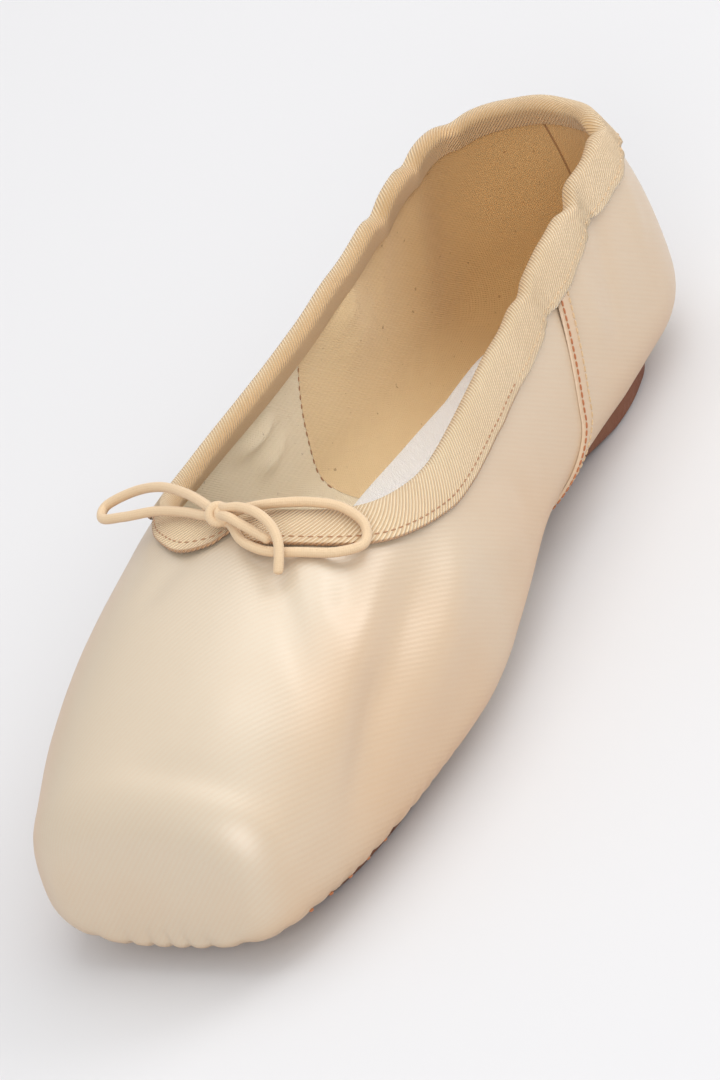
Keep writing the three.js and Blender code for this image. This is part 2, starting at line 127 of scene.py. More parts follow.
class Finish:
    def __init__(self, name, blocks=bpy.data.materials, shader="Principled BSDF"):
        self.block = blocks.new(name)
        self.block.use_nodes = True
        self.nodes = self.block.node_tree.nodes
        self.links = self.block.node_tree.links
        self.shader = self.nodes[shader]

    def feed(self, socket, value):
        if isinstance(value, Wire):
            self.links.new(value.socket, socket)
        else:
            socket.default_value = value

    def add(self, kind, settings, sockets, output=0):
        made = self.nodes.new(kind)
        for name, value in settings.items():
            setattr(made, name, value)
        for key, value in sockets.items():
            self.feed(made.inputs[key], value)
        return Wire(self, made.outputs[output])

    def surface(self, sockets):
        for name, value in sockets.items():
            self.feed(self.shader.inputs[name], value)
        return self

    def axes(self, vector):
        parts = self.add("ShaderNodeSeparateXYZ", {}, {"Vector": vector})
        return [Wire(self, socket) for socket in parts.socket.node.outputs]

    # cloth directions in mm, along the piece and across it
    def cloth(self):
        return self.axes(self.add("ShaderNodeUVMap", {"uv_map": "cloth"}, {}))[:2]

    def spot(self, kind="Object"):
        return self.add("ShaderNodeTexCoord", {}, {}, kind)

    def paint(self, name):
        return self.add("ShaderNodeAttribute", {"attribute_name": name}, {}, "Fac")

    def noise(self, scale, detail=2.0, rough=0.5):
        sockets = {"Vector": self.spot(), "Scale": scale, "Detail": detail, "Roughness": rough}
        return self.add("ShaderNodeTexNoise", {}, sockets)

    def mix(self, share, first, second):
        return self.add("ShaderNodeMix", {"data_type": "RGBA"}, {0: share, 6: first, 7: second}, 2)

    def bump(self, height, distance):
        return self.add("ShaderNodeBump", {}, {"Height": height, "Distance": distance})


# Meshes from rows of points
weldScale = 500  # points that round to the same five-hundredth of a millimetre are one
tiny = 1e-9


def buildPiece(name, sewn, finishes, nodes=(), paints=None, faceFinish=None):
    points, faces, cloth = sewn
    faceList, corners, kept = [], [], []
    for k, face in enumerate(faces.tolist()):
        seen = {}  # a welded face keeps each corner once
        for corner, index in enumerate(face):
            seen.setdefault(index, corner)
        if len(seen) > 2:
            kept.append(k)
            faceList.append(list(seen))
            corners.append(cloth[k][list(seen.values())])
    mesh = bpy.data.meshes.new(name)
    mesh.from_pydata(toFrame(points).tolist(), [], faceList)
    for finish in finishes:
        mesh.materials.append(finish.block)
    mesh.polygons.foreach_set("use_smooth", [True] * len(kept))
    if faceFinish is not None:
        mesh.polygons.foreach_set("material_index", faceFinish[kept].tolist())
    layer = mesh.uv_layers.new(name="cloth")
    layer.uv.foreach_set("vector", np.concatenate(corners).ravel())
    for paintName, values in (paints or {}).items():
        layer = mesh.attributes.new(paintName, "FLOAT", "POINT")
        layer.data.foreach_set("value", values)
    mesh.update()
    piece = bpy.data.objects.new(name, mesh)
    scene.collection.objects.link(piece)
    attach(piece, "root")
    if nodes:
        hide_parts(*nodes)
    return piece


# Grids joined where their points meet: points, faces, and the cloth lengths at each corner of a face
def sew(grids):
    points, cloth, quads = [], [], []
    start = 0
    for rows, mapped, flip in grids:
        count, width = rows.shape[:2]
        index = np.arange(count * width).reshape(count, width) + start
        quad = np.stack([index[:-1, :-1], index[1:, :-1], index[1:, 1:], index[:-1, 1:]], -1)
        quad = quad.reshape(-1, 4)
        quads.append(quad[:, ::-1] if flip else quad)
        points.append(rows.reshape(-1, 3))
        cloth.append(mapped.reshape(-1, 2))
        start += count * width
    points = np.concatenate(points)
    quads = np.concatenate(quads)
    keys = np.round(points * weldScale).astype(int)
    _, first, weld = np.unique(keys, axis=0, return_index=True, return_inverse=True)
    return points[first], weld.ravel()[quads], np.concatenate(cloth)[quads]


def unit(v):
    return v / np.maximum(np.linalg.norm(v, axis=-1, keepdims=True), tiny)


def vertexNormals(points, faces):
    corner = points[faces]
    area = np.cross(corner[:, 2] - corner[:, 0], corner[:, 3] - corner[:, 1])
    normals = np.zeros_like(points)
    for k in range(4):
        np.add.at(normals, faces[:, k], area)
    return unit(normals)


# A closed sheet: the outer points, the inner points, and a rim along the free edges
def thicken(outer, inner, faces, cloth):
    count = len(outer)
    edges = np.concatenate([faces[:, [k, (k + 1) % 4]] for k in range(4)])
    corners = np.concatenate([cloth[:, [k, (k + 1) % 4]] for k in range(4)])
    keys = edges[:, 0] * count + edges[:, 1]
    free = ~np.isin(keys, edges[:, 1] * count + edges[:, 0]) & (edges[:, 0] != edges[:, 1])
    start, stop = edges[free].T
    rimFaces = np.stack([stop, start, start + count, stop + count], -1)
    rimCloth = corners[free][:, [1, 0, 0, 1]]
    allFaces = np.concatenate([faces, faces[:, ::-1] + count, rimFaces])
    allCloth = np.concatenate([cloth, cloth[:, ::-1], rimCloth])
    return np.concatenate([outer, inner]), allFaces, allCloth


# A smooth line through a few points, at about the given step
def smoothRoute(route, step):
    knots = np.asarray(route, float)
    knots = np.vstack([2 * knots[0] - knots[1], knots, 2 * knots[-1] - knots[-2]])
    pieces = []
    for k in range(1, len(knots) - 2):
        p0, p1, p2, p3 = knots[k - 1:k + 3]
        t1 = np.linalg.norm(p1 - p0) ** 0.5
        t2 = t1 + np.linalg.norm(p2 - p1) ** 0.5
        t3 = t2 + np.linalg.norm(p3 - p2) ** 0.5
        count = max(2, math.ceil(np.linalg.norm(p2 - p1) / step))
        t = np.linspace(t1, t2, count, endpoint=False)[:, None]
        a1 = p0 + (p1 - p0) * t / t1
        a2 = p1 + (p2 - p1) * (t - t1) / (t2 - t1)
        a3 = p2 + (p3 - p2) * (t - t2) / (t3 - t2)
        b1 = a1 + (a2 - a1) * t / t2
        b2 = a2 + (a3 - a2) * (t - t1) / (t3 - t1)
        pieces.append(b1 + (b2 - b1) * (t - t1) / (t2 - t1))
    return np.vstack(pieces + [knots[-2:-1]])


def travelled(line):
    return np.concatenate([[0], np.cumsum(np.linalg.norm(np.diff(line, axis=0), axis=1))])


def atTravel(line, travel, want):
    return np.stack([np.interp(want, travel, line[:, k]) for k in range(3)], -1)


# A round tube along a line, with rounded ends
tube = {"firstSide": (0.3, 0.2, 0.93), "endLong": 0.7, "endShares": (0.0, 0.35, 0.7, 0.92)}


def tubeGrid(line, radius, sides):
    tangents = unit(np.gradient(line, axis=0))
    side = np.cross(tangents[0], tube["firstSide"])
    travel = travelled(line)
    angles = np.linspace(0, 2 * np.pi, sides + 1)
    dome = [(share, radius * tube["endLong"] * math.sqrt(1 - share * share)) for share in tube["endShares"]]
    rings, mapped = [], []
    for k, (centre, tangent) in enumerate(zip(line, tangents)):
        side = unit(side - tangent * np.dot(side, tangent))
        ring = np.cos(angles)[:, None] * side + np.sin(angles)[:, None] * np.cross(tangent, side)
        here = [(1.0, 0.0)]
        if k == 0:
            here = [(share, -ahead) for share, ahead in dome] + here
        if k == len(line) - 1:
            here = here + dome[::-1]
        for share, ahead in here:
            rings.append(centre + tangent * ahead + ring * radius * share)
            mapped.append(np.stack([np.full(sides + 1, travel[k] + ahead), angles * radius], -1))
    return np.array(rings), np.array(mapped)


# Drawstring bow
bow = {
    "diameter": 2.15,
    "sides": 16,
    "step": 0.8,
    "left": {
        "loop": [
            (167, 1, 64.4), (164.1, 5.3, 64.2), (161.2, 10.5, 63.1), (159, 16.9, 61.6), (157.9, 22.8, 59.4),
            (159.4, 27.8, 56.2), (163.2, 29, 54.3), (167.8, 25.6, 55.5), (171.2, 18.5, 58),
            (173, 11.8, 59.7), (171.6, 6, 61.3), (168.4, 2.4, 62.9), (166.6, -0.6, 63.6),
        ],
        "end": [
            (165.8, -0.6, 65.4), (167, 1.9, 66.2), (167.2, 5.2, 66.6), (168.6, 10, 66.2),
            (170.6, 13.8, 64.4), (173, 15.8, 62.2), (175.4, 16.4, 60), (177.4, 16.4, 57.9),
        ],
    },
    "right": {
        "loop": [
            (167, -1, 64.4), (164.2, -5, 64.8), (159.6, -13, 64.6), (155.8, -22, 63.2), (154.8, -30.5, 60.8),
            (156.8, -36.6, 58.6), (160, -35.8, 58.2), (161.4, -29, 59.6), (161.8, -20, 61.4),
            (163.8, -11, 62.6), (166, -5, 63.4), (167.3, -1, 64.4),
        ],
        "end": [
            (168.4, 1.4, 65.3), (169.5, 3.8, 65.5), (170.2, 6.6, 64.2), (170.9, 9.6, 62.9),
            (171.6, 12.4, 61.7),
        ],
    },
    "knotCentre": (167, 0, 64.5),
    "wraps": [  # each a coil of cord: the way it faces, its place, its radius, how far it turns and climbs
        {"facing": (0.67, 0.51, 0.53), "shift": (0.3, -0.6, 0.3),
         "radius": 1.75, "from": -1.2, "turns": 1.15, "climb": 1.3},
        {"facing": (-0.25, 0.95, 0.1), "shift": (-0.3, 0.5, -0.5),
         "radius": 1.5, "from": 0.5, "turns": 1.3, "climb": 1.9},
        {"facing": (0.3, -0.6, 0.75), "shift": (-0.2, 0.9, -0.2),
         "radius": 1.5, "from": 2.4, "turns": 0.9, "climb": 0.8},
    ],
    "wrapCordRadius": 1.05,
    "wrapSteps": 48,
    "colour": tint(227, 201, 165),
    "shade": tint(190, 142, 94),
    "underShade": 0.5,
    "underFrom": 0.1,
    "underGain": 0.9,
    "braidAlong": 7.0,  # radians a millimetre
    "braidAround": 5.58,
}


def cordFinish(spec):
    finish = Finish("cord_cotton")
    lengthwise, around = finish.cloth()
    lengthwise, around = lengthwise * spec["braidAlong"], around * spec["braidAround"]
    braid = (lengthwise + around).sine() * (lengthwise - around).sine()
    fibre = finish.noise(2600.0, 3.0)
    # painted shade on the cord's downward-facing side
    shadow = finish.paint("under") * spec["underShade"]
    share = braid * 0.07 + 0.03 + fibre * 0.24 + shadow
    return finish.surface({
        "Base Color": finish.mix(share, spec["colour"], spec["shade"]),
        "Roughness": 0.62 + fibre * 0.15,
        "Sheen Weight": 0.25,
        "Normal": finish.bump(braid * 0.22 + fibre * 0.8, 0.0001),
    })


cordCotton = cordFinish(bow)


# Painted shade: the cord is deeper in colour where it faces down
def cordPiece(name, grids, nodes):
    points, faces, cloth = sew(grids)
    under = np.clip(bow["underFrom"] - bow["underGain"] * vertexNormals(points, faces)[:, 2], 0, 1)
    return buildPiece(name, (points, faces, cloth), [cordCotton], nodes, {"under": under})


def bowCord(side):
    line = smoothRoute(bow[side]["loop"] + bow[side]["end"], bow["step"])
    rows, mapped = tubeGrid(line, bow["diameter"] / 2, bow["sides"])
    nodes = (f"drawstring_loop_{side}", f"drawstring_end_{side}")
    piece = cordPiece(f"bow_{side}", [(rows, mapped, True)], nodes)


def bowKnot():
    share = np.linspace(0, 1, bow["wrapSteps"] + 1)[:, None]
    grids = []
    for wrap in bow["wraps"]:
        facing = unit(np.array(wrap["facing"]))
        across = unit(np.cross((0, 0, 1), facing))
        angle = wrap["from"] + 2 * np.pi * wrap["turns"] * share
        ring = np.cos(angle) * across + np.sin(angle) * np.cross(facing, across)
        line = np.array(bow["knotCentre"]) + wrap["shift"] + wrap["radius"] * ring
        line = line + wrap["climb"] * (share - 0.5) * facing
        rows, mapped = tubeGrid(line, bow["wrapCordRadius"], bow["sides"])
        grids.append((rows, mapped, True))
    return cordPiece("bow_knot", grids, ("drawstring_knot",))


knotPiece = bowKnot()
bowCord("left")
bowCord("right")
print("bow tied")


# The last, as in the model
last = {
    "length": 236.0,
    "ballWidth": 85.0,
    "instepHeight": 61.0,
    "heelHeight": 58.0,
    "archHeight": 5.6,
    "soleThick": 2.6,
    "fitGap": 0.3,
    "innerGap": 0.5,
    "heelCentre": 30.0,
    "heelPower": 2.2,
    "toeRound": 8.0,
    "toeFloor": 0.45,  # shares of the toe's rounding that its floor and crown take
    "toeCrown": 0.95,
    "lean": 0.1,
    "bulge": 0.7,
    "leanFrom": 195.0,
    "leanLevel": 12.0,
    "throatX": 162.0,
    "throatReach": 27.0,
    "throatDrop": 7.0,
    "lastingMargin": 7.0,
    "openingBack": 6.0,
    "openingFront": 217.0,
}
sectionTable = {
    "x": [0.127, 0.263, 0.424, 0.559, 0.678, 0.788, 0.881, 0.966, 1.0],
    "half": [0.69, 0.72, 0.79, 0.92, 1.0, 0.955, 0.87, 0.74, 0.685],
    "widest": [21, 22, 22, 20, 19, 18.5, 18, 18, 18],
    "crown": [1.25, 1.21, 1.15, 1.07, 1.0, 0.93, 0.82, 0.69, 0.635],
    "low": [3.0, 3.0, 3.0, 3.4, 3.8, 3.8, 3.6, 3.2, 3.0],
    "up": [2.3, 2.2, 2.2, 2.2, 2.2, 2.3, 2.4, 2.5, 2.6],
}
for column, size in (("x", last["length"]), ("half", last["ballWidth"] / 2), ("crown", last["instepHeight"])):
    sectionTable[column] = [share * size for share in sectionTable[column]]
heelBack = {"widest": 22, "crown": 82, "low": 2.4, "up": 2.0}
undersideTable = {
    "x": [52, 72, 100, 124, 146, 212, 228],
    "rise": [share * last["archHeight"] for share in (0, 0.45, 1, 0.55, 0, 0, 0.2)],
}
collarTable = {
    "x": [0, 30, 60, 95, 130, 150, 162],
    "height": [share * last["heelHeight"] for share in (1.0, 0.985, 0.935, 0.89, 0.88, 0.92, 0.955)],
}
wallTable = {"x": [0, 125, 155, 195, 236], "thick": [1.6, 1.5, 1.8, 2.9, 3.2]}
soleTable = {
    "x": [16, 18, 24, 34, 46, 75, 106, 130, 158, 180, 200, 214, 223, 227],
    "half": [4, 9.5, 16.5, 21, 22.5, 20, 17.5, 22, 30.5, 31, 28.5, 23.5, 15, 6],
}
insoleTable = {
    "x": [17, 19, 25, 38, 62, 100, 132, 160, 190, 210, 221, 225],
    "half": [4, 9.5, 15.5, 19.5, 20.5, 21.5, 26.5, 30, 28.5, 24, 16, 7],
}


# A column of a table at x, as a smooth curve that doesn't overshoot
def along(table, column, x):
    xs = np.asarray(table["x"], float)
    ys = np.asarray(table[column], float)
    gaps = np.diff(xs)
    slopes = np.diff(ys) / gaps
    tangents = np.zeros_like(ys)
    tangents[0], tangents[-1] = slopes[0], slopes[-1]
    first = 2 * gaps[1:] + gaps[:-1]
    second = gaps[1:] + 2 * gaps[:-1]
    for k in np.flatnonzero(slopes[:-1] * slopes[1:] > 0):
        tangents[k + 1] = (first[k] + second[k]) / (first[k] / slopes[k] + second[k] / slopes[k + 1])
    x = np.clip(x, xs[0], xs[-1])
    row = np.clip(np.searchsorted(xs, x) - 1, 0, len(gaps) - 1)
    t = (x - xs[row]) / gaps[row]
    near = ys[row] * (1 + 2 * t) * (1 - t) ** 2 + gaps[row] * tangents[row] * t * (1 - t) ** 2
    far = ys[row + 1] * t * t * (3 - 2 * t) + gaps[row] * tangents[row + 1] * t * t * (t - 1)
    return near + far


def ease(value, low, high):
    t = np.clip((value - low) / (high - low), 0, 1)
    return t * t * (3 - 2 * t)


def bodyRib(x):
    x = np.asarray(x, float)
    turned = np.clip((x - last["length"] + last["toeRound"]) / last["toeRound"], 0, 1)
    drawnIn = last["toeRound"] * (1 - np.sqrt(1 - turned * turned))
    flat = last["soleThick"] + last["fitGap"]
    rib = {name: along(sectionTable, name, x) for name in ("half", "widest", "crown", "low", "up")}
    rib["half"] = rib["half"] - drawnIn
    rib["crown"] = rib["crown"] - last["toeCrown"] * drawnIn
    rib["floor"] = flat + along(undersideTable, "rise", x) + last["toeFloor"] * drawnIn
    return rib


# A rib of the last at places x along it, or at turns round the heel where turn is above zero
def ribAt(x, turn):
    rib = bodyRib(np.where(turn > 0, last["heelCentre"], x))
    share = np.sin(turn) ** 2
    power = last["heelPower"]
    reach = (np.cos(turn) / rib["half"]) ** power + (np.sin(turn) / last["heelCentre"]) ** power
    rib["half"] = np.where(turn > 0, reach ** (-1 / power), rib["half"])
    for name, value in heelBack.items():
        rib[name] = rib[name] + (value - rib[name]) * share
    return rib


# Half width and height on a rib; sweep is 0 in the middle of the floor, 1 at the widest, 2 at the crown
def onRib(rib, sweep):
    lower = sweep < 1
    angle = np.where(lower, sweep, sweep - 1) * np.pi / 2
    power = 2 / np.where(lower, rib["low"], rib["up"])
    sine = np.maximum(np.sin(angle), 0) ** power
    cosine = np.maximum(np.cos(angle), 0) ** power
    r = rib["half"] * np.where(lower, sine, cosine)
    drop = rib["widest"] - (rib["widest"] - rib["floor"]) * cosine
    climb = rib["widest"] + (rib["crown"] - rib["widest"]) * sine
    return r, np.where(lower, drop, climb)


def sweepAtWidth(rib, r):
    return np.arcsin(np.clip(r / rib["half"], 0, 1) ** (rib["low"] / 2)) * 2 / np.pi


def sweepAtHeight(rib, z):
    share = np.clip((z - rib["widest"]) / (rib["crown"] - rib["widest"]), 0, 1)
    return 1 + np.arcsin(share ** (rib["up"] / 2)) * 2 / np.pi


def place(x, turn, r, z):
    leaning = last["lean"] * (z - last["leanLevel"]) * ease(x, last["leanFrom"], last["length"])
    px = np.where(turn > 0, last["heelCentre"] - r * np.sin(turn), x - leaning)
    py = np.where(turn > 0, r * np.cos(turn), r)
    return np.stack(np.broadcast_arrays(px, py, z), -1)


def heelTurn(x):
    return np.where(x < last["heelCentre"], np.arcsin(np.clip(1 - x / last["heelCentre"], 0, 1)), 0.0)


# A spot on the last: x along it, sweep up one side, past 2 down the other
def onLast(x, sweep, side=1):
    x, sweep = np.asarray(x, float), np.asarray(sweep, float)
    turn = heelTurn(x)
    over = sweep > 2
    r, z = onRib(ribAt(x, turn), np.where(over, 4 - sweep, sweep))
    spot = place(x, turn, r, z)
    spot[..., 1] *= np.where(over, -side, side)
    return spot


def collarHeight(x, rib):
    lip = np.exp(-(last["throatX"] - x) / last["throatDrop"])
    rise = along(sectionTable, "crown", last["throatX"]) - along(collarTable, "height", last["throatX"])
    return np.minimum(along(collarTable, "height", x) + rise * lip, rib["crown"])


# Where the drawstring draws the collar in, and how its edge waves between
collar = {
    "pinches": [  # side, x and strength
        (1, 74, 0.5), (1, 44, 1.0), (1, 14, 0.8), (-1, 45, 1.0), (-1, 27, 0.7), (-1, 10, 0.5),
    ],
    "wide": 3.4,
    "dip": 2.5,
    "waves": [(0.22, 2.9, 0.6), (0.3, 4.7, 2.0)],  # height, length and start
    "waveEnds": (60, 120),
}


def fromHeel(x):
    return last["heelCentre"] * (np.pi / 2 - heelTurn(x)) + np.maximum(x - last["heelCentre"], 0)


def pinchAt(x, side):
    drawn = np.zeros_like(x)
    for pinchSide, pinchX, strength in collar["pinches"]:
        off = fromHeel(x) - fromHeel(pinchX)
        drawn = drawn + (pinchSide == side) * strength * np.exp(-(off / collar["wide"]) ** 2)
    return drawn


def collarWave(x, side):
    travel = side * fromHeel(x)
    waves = sum(high * np.sin(travel / long + start) for high, long, start in collar["waves"])
    return waves * (1 - ease(x, *collar["waveEnds"])) - collar["dip"] * pinchAt(x, side)


# Half width of the opening underneath, which the soles close
def openingAt(x, turn):
    def half(where):
        return along(soleTable, "half", where) - last["lastingMargin"]
    heel = 1 / np.hypot(np.cos(turn) / half(last["heelCentre"]), np.sin(turn) / last["openingBack"])
    nose = np.clip((last["openingFront"] - x) / last["lastingMargin"], 0, 1)
    return np.where(turn > 0, heel, half(x) * np.sqrt(1 - (1 - nose) ** 2))


def planRib(x, y):
    inHeel = x < last["heelCentre"]
    turn = np.where(inHeel, np.maximum(np.arctan2(last["heelCentre"] - x, np.abs(y)), tiny), 0.0)
    r = np.where(inHeel, np.hypot(last["heelCentre"] - x, y), np.abs(y))
    return ribAt(np.maximum(x, last["heelCentre"]), turn), r


def floorAt(x, y):
    rib, r = planRib(x, y)
    return onRib(rib, np.minimum(sweepAtWidth(rib, r), 0.999))[1]  # stays on the lower half of the rib


# How far outside the last a point is, as a share of the rib
def gauge(p):
    rib, r = planRib(p[..., 0], p[..., 1])
    z = p[..., 2]
    above = z > rib["widest"]
    power = np.where(above, rib["up"], rib["low"])
    rise = np.where(
        above,
        (z - rib["widest"]) / (rib["crown"] - rib["widest"]),
        (rib["widest"] - z) / (rib["widest"] - rib["floor"]),
    )
    return ((r / rib["half"]) ** power + np.abs(rise) ** power) ** (1 / power) - 1


def wayOut(p):
    step = 0.05
    slopes = []
    for axis in range(3):
        shift = np.zeros(3)
        shift[axis] = step
        slopes.append((gauge(p + shift) - gauge(p - shift)) / (2 * step))
    return np.stack(slopes, -1)


def ontoLast(p):
    for _ in range(6):  # a few steps along the slope bring a point onto the last
        out = wayOut(p)
        p = p - out * (gauge(p) / np.sum(out * out, -1))[..., None]
    return p


# Satin upper with its linings
upperSet = {
    "rows": 84,
    "rowShift": 0.22,
    "arcSamples": 400,
    "toeSteps": 10,
    "boxSteps": 62,
    "collarSteps": (16, 74, 40),  # along the throat, the quarter and the heel
    "platformRings": 12,
    "pleats": {"centre": 192, "count": 46, "depth": 0.8, "levels": (4.0, 13.0), "rear": (165, 190),
               "uneven": 2.5, "unevenCount": 7},
    "liningSeam": {"x": 90, "level": 25, "slant": 0.15, "low": 0.62, "high": 1.42, "steps": 60},
    "liningStitch": {"pitch": 2.3, "long": 1.5, "wide": 0.45, "high": 0.22},
    # small brown stitches along the toe pleats, painted shade of the pleat folds
    "pleatShadeMarks": {"from": 199, "to": 231, "sweep": 0.66, "steps": 40},
    "pleatShadeStitch": {"pitch": 6.1, "long": 1.3, "wide": 0.7, "high": 0.35},
    # a crease has its side, depth (a ridge is above zero), width, and a route through (x, sweep) places
    "creaseStep": 2.0,
    "creaseFade": {"in": 0.35, "out": 0.55},
    "knotCreases": [  # strongest where they start, under the knot and beside it
        (1, -1.6, 4.2, [(172, 1.86), (179, 1.78), (186, 1.69), (192, 1.6), (199, 1.5), (208, 1.4)]),
        (1, -0.9, 3.4, [(166, 1.6), (175, 1.54), (184, 1.5)]),
        (1, 0.5, 3.8, [(169, 1.72), (178, 1.65), (188, 1.57)]),
        (-1, -0.5, 4.0, [(174, 1.9), (182, 1.85), (190, 1.83)]),
    ],
    "creases": [
        # edges of the stiffened wings
        (1, -2.4, 6.5, [(140, 1.4), (160, 1.35), (172, 1.31), (183, 1.27), (193, 1.22), (206, 1.09),
                        (216, 0.96)]),
        (1, -1.1, 5.0, [(176, 1.3), (188, 1.25), (199, 1.16), (209, 1.05), (217, 0.94)]),
        (1, 0.9, 6.0, [(134, 1.27), (148, 1.25), (169, 1.14), (190, 1.02)]),
        (1, 1.1, 7.5, [(172, 1.44), (184, 1.38), (198, 1.31), (217, 1.13)]),
        (-1, -0.6, 5.5, [(144, 1.36), (168, 1.38), (190, 1.34), (212, 1.26)]),
        # across the toe above the platform
        (1, -0.75, 4.6, [(226, 2.12), (227, 1.9), (227, 1.7), (225, 1.5), (221, 1.3)]),
        (1, 0.5, 8.0, [(212, 1.9), (214, 1.7), (212, 1.5), (206, 1.38)]),
        # drag lines of the quarters
        (1, -0.55, 3.2, [(52, 0.98), (44, 1.2), (34, 1.42)]),
        (1, 0.5, 3.4, [(58, 1.0), (55, 1.22), (50, 1.45)]),
        (1, -0.5, 3.4, [(66, 1.02), (66, 1.25), (64, 1.46)]),
        (1, -0.45, 4.2, [(110, 1.0), (118, 1.18), (130, 1.34)]),
        (1, 0.4, 4.4, [(120, 0.98), (132, 1.12), (146, 1.24)]),
        (1, 0.35, 3.0, [(30, 1.05), (22, 1.25), (16, 1.45)]),
        (-1, -0.5, 3.4, [(54, 0.98), (47, 1.2), (38, 1.44)]),
        (-1, 0.45, 3.4, [(62, 1.0), (61, 1.24), (57, 1.46)]),
        (-1, -0.45, 3.4, [(70, 1.02), (72, 1.25), (71, 1.45)]),
        (-1, -0.4, 4.4, [(112, 1.0), (121, 1.18), (133, 1.34)]),
    ],
    "liningFolds": [  # of the linings alone, into the shoe
        (-1, 1.9, 2.2, [(116, 1.26), (107, 1.22), (97, 1.23)]),
        (-1, 1.4, 2.4, [(110, 1.12), (103, 1.1), (95, 1.14)]),
        (-1, 3.0, 7.5, [(70, 1.38), (64, 1.22), (61, 1.0)]),
        (-1, 1.0, 6.0, [(32, 1.36), (28, 1.2), (26, 1.0)]),
        (1, 1.5, 8.0, [(56, 1.36), (52, 1.2), (52, 1.0)]),
        (1, 0.9, 2.6, [(112, 1.4), (106, 1.32), (98, 1.28)]),
    ],
    # painted shade: how much deeper in colour the satin is where it faces down or sideways, on the vamp, at
    # the waist and toward the heel: share, the way it faces, from and to, and the place
    "paintedShades": [
        (0.4, "down", -0.3, 0.6, "all"),
        (0.08, "sideways", 0.5, 1.0, "all"),
        (0.34, "sideways", 0.35, 0.85, "vampSides"),
        (0.18, "right", 0.36, 0.86, "vamp"),
        (0.24, "sideways", 0.4, 0.9, "waist"),
        (0.1, "any", 0.0, 1.0, "heel"),
    ],
    "vampX": (140, 175),
    "toeX": (195, 222),
    "toePaler": 0.6,
    "heelX": (60, 110),
    "waistX": 112.0,
    "waistWide": 32.0,
    "cream": tint(207, 193, 171),
    "peach": tint(207, 161, 112),
    "satinThreads": (3.9, 4.7),  # along and up, in radians a millimetre
    # the canvas's heel colour is painted shade deep inside the shoe
    "canvas": {"ground": tint(241, 214, 170), "fleck": tint(146, 100, 58), "heel": tint(217, 177, 121)},
    "linen": {"ground": tint(245, 230, 202), "fleck": tint(150, 124, 90)},
}


# Places from the throat along the quarter to the back of the heel, with the turns round the heel
def collarStations(throatSteps, quarterSteps, heelSteps):
    throat, reach, centre = last["throatX"], last["throatReach"], last["heelCentre"]
    heel = np.linspace(0, np.pi / 2, heelSteps + 1)[1:]
    x = np.concatenate([
        throat - reach * np.linspace(0, 1, throatSteps, endpoint=False) ** 2,
        np.linspace(throat - reach, centre, quarterSteps),
        centre * (1 - np.sin(heel)),
    ])
    return x, np.concatenate([np.zeros(throatSteps + quarterSteps), heel])


def upperStations(spec):
    front = last["length"] - last["toeRound"]
    turns = np.linspace(np.pi / 2, 0, spec["toeSteps"], endpoint=False)
    toe = front + last["toeRound"] * np.sin(turns)
    box = np.linspace(front, last["throatX"], spec["boxSteps"], endpoint=False)
    x, turn = collarStations(*spec["collarSteps"])
    return np.concatenate([toe, box, x]), np.concatenate([np.zeros(len(toe) + len(box)), turn])


# Points of one side, with cloth lengths along the shoe and up the rib; rows close up at both edges
def ribGrid(x, turn, low, high, spec):
    sweeps = np.linspace(0, 2, spec["arcSamples"] + 1)
    rib = ribAt(x, turn)
    columns = {name: value[:, None] for name, value in rib.items()}
    r, z = onRib(columns, sweeps[None, :])
    steps = np.hypot(np.diff(r, axis=1), np.diff(z, axis=1))
    arcs = np.concatenate([np.zeros((len(x), 1)), np.cumsum(steps, axis=1)], axis=1)
    shares = np.linspace(0, 1, spec["rows"] + 1)
    chosen, climb = [], []
    for k in range(len(x)):
        start, stop = np.interp([low[k], high[k]], sweeps, arcs[k])
        most = spec["rowShift"] * (stop - start)
        shift = most * (1 - math.exp(-(arcs[k, -1] - stop) / most))
        want = stop * shares + start * (1 - shares) ** 3 + shift * (shares - shares ** 4)
        chosen.append(np.interp(want, arcs[k], sweeps))
        climb.append(want)
    r, z = onRib(columns, np.array(chosen))
    points = place(x[:, None], turn[:, None], r, z)
    travel = travelled(place(x, turn, *onRib(rib, np.ones(len(x)))))
    cloth = np.stack([np.broadcast_to(travel[:, None], r.shape), arcs[:, -1:] - np.array(climb)], -1)
    return points, cloth


# Soft troughs and ridges, placed one by one
def creaseLift(points, creases, atStart=0.0):
    fading = upperSet["creaseFade"]
    lift = np.zeros(len(points))
    for side, depth, width, route in creases:
        x, sweep = np.array(route, float).T
        line = smoothRoute(onLast(x, sweep, side), upperSet["creaseStep"])
        nearest = np.full(len(points), np.inf)
        share = np.zeros(len(points))
        for k, (a, b) in enumerate(zip(line[:-1], line[1:])):
            span = b - a
            t = np.clip((points - a) @ span / (span @ span), 0, 1)
            away = np.sum((points - a - t[:, None] * span) ** 2, axis=1)
            share = np.where(away < nearest, (k + t) / (len(line) - 1), share)
            nearest = np.minimum(nearest, away)
        fade = atStart + (1 - atStart) * ease(share, 0, fading["in"])
        fade = fade * (1 - ease(share, fading["out"], 1))
        lift += depth * fade * np.exp(-nearest / width ** 2)
    return lift


def pleatLift(points, spec):
    angle = np.arctan2(points[:, 1], points[:, 0] - spec["centre"])
    wander = spec["uneven"] * np.sin(spec["unevenCount"] * angle)
    valley = (0.5 + 0.5 * np.cos(spec["count"] * angle + wander)) ** 3
    fade = (1 - ease(points[:, 2], *spec["levels"])) * ease(points[:, 0], *spec["rear"])
    return -spec["depth"] * valley * fade
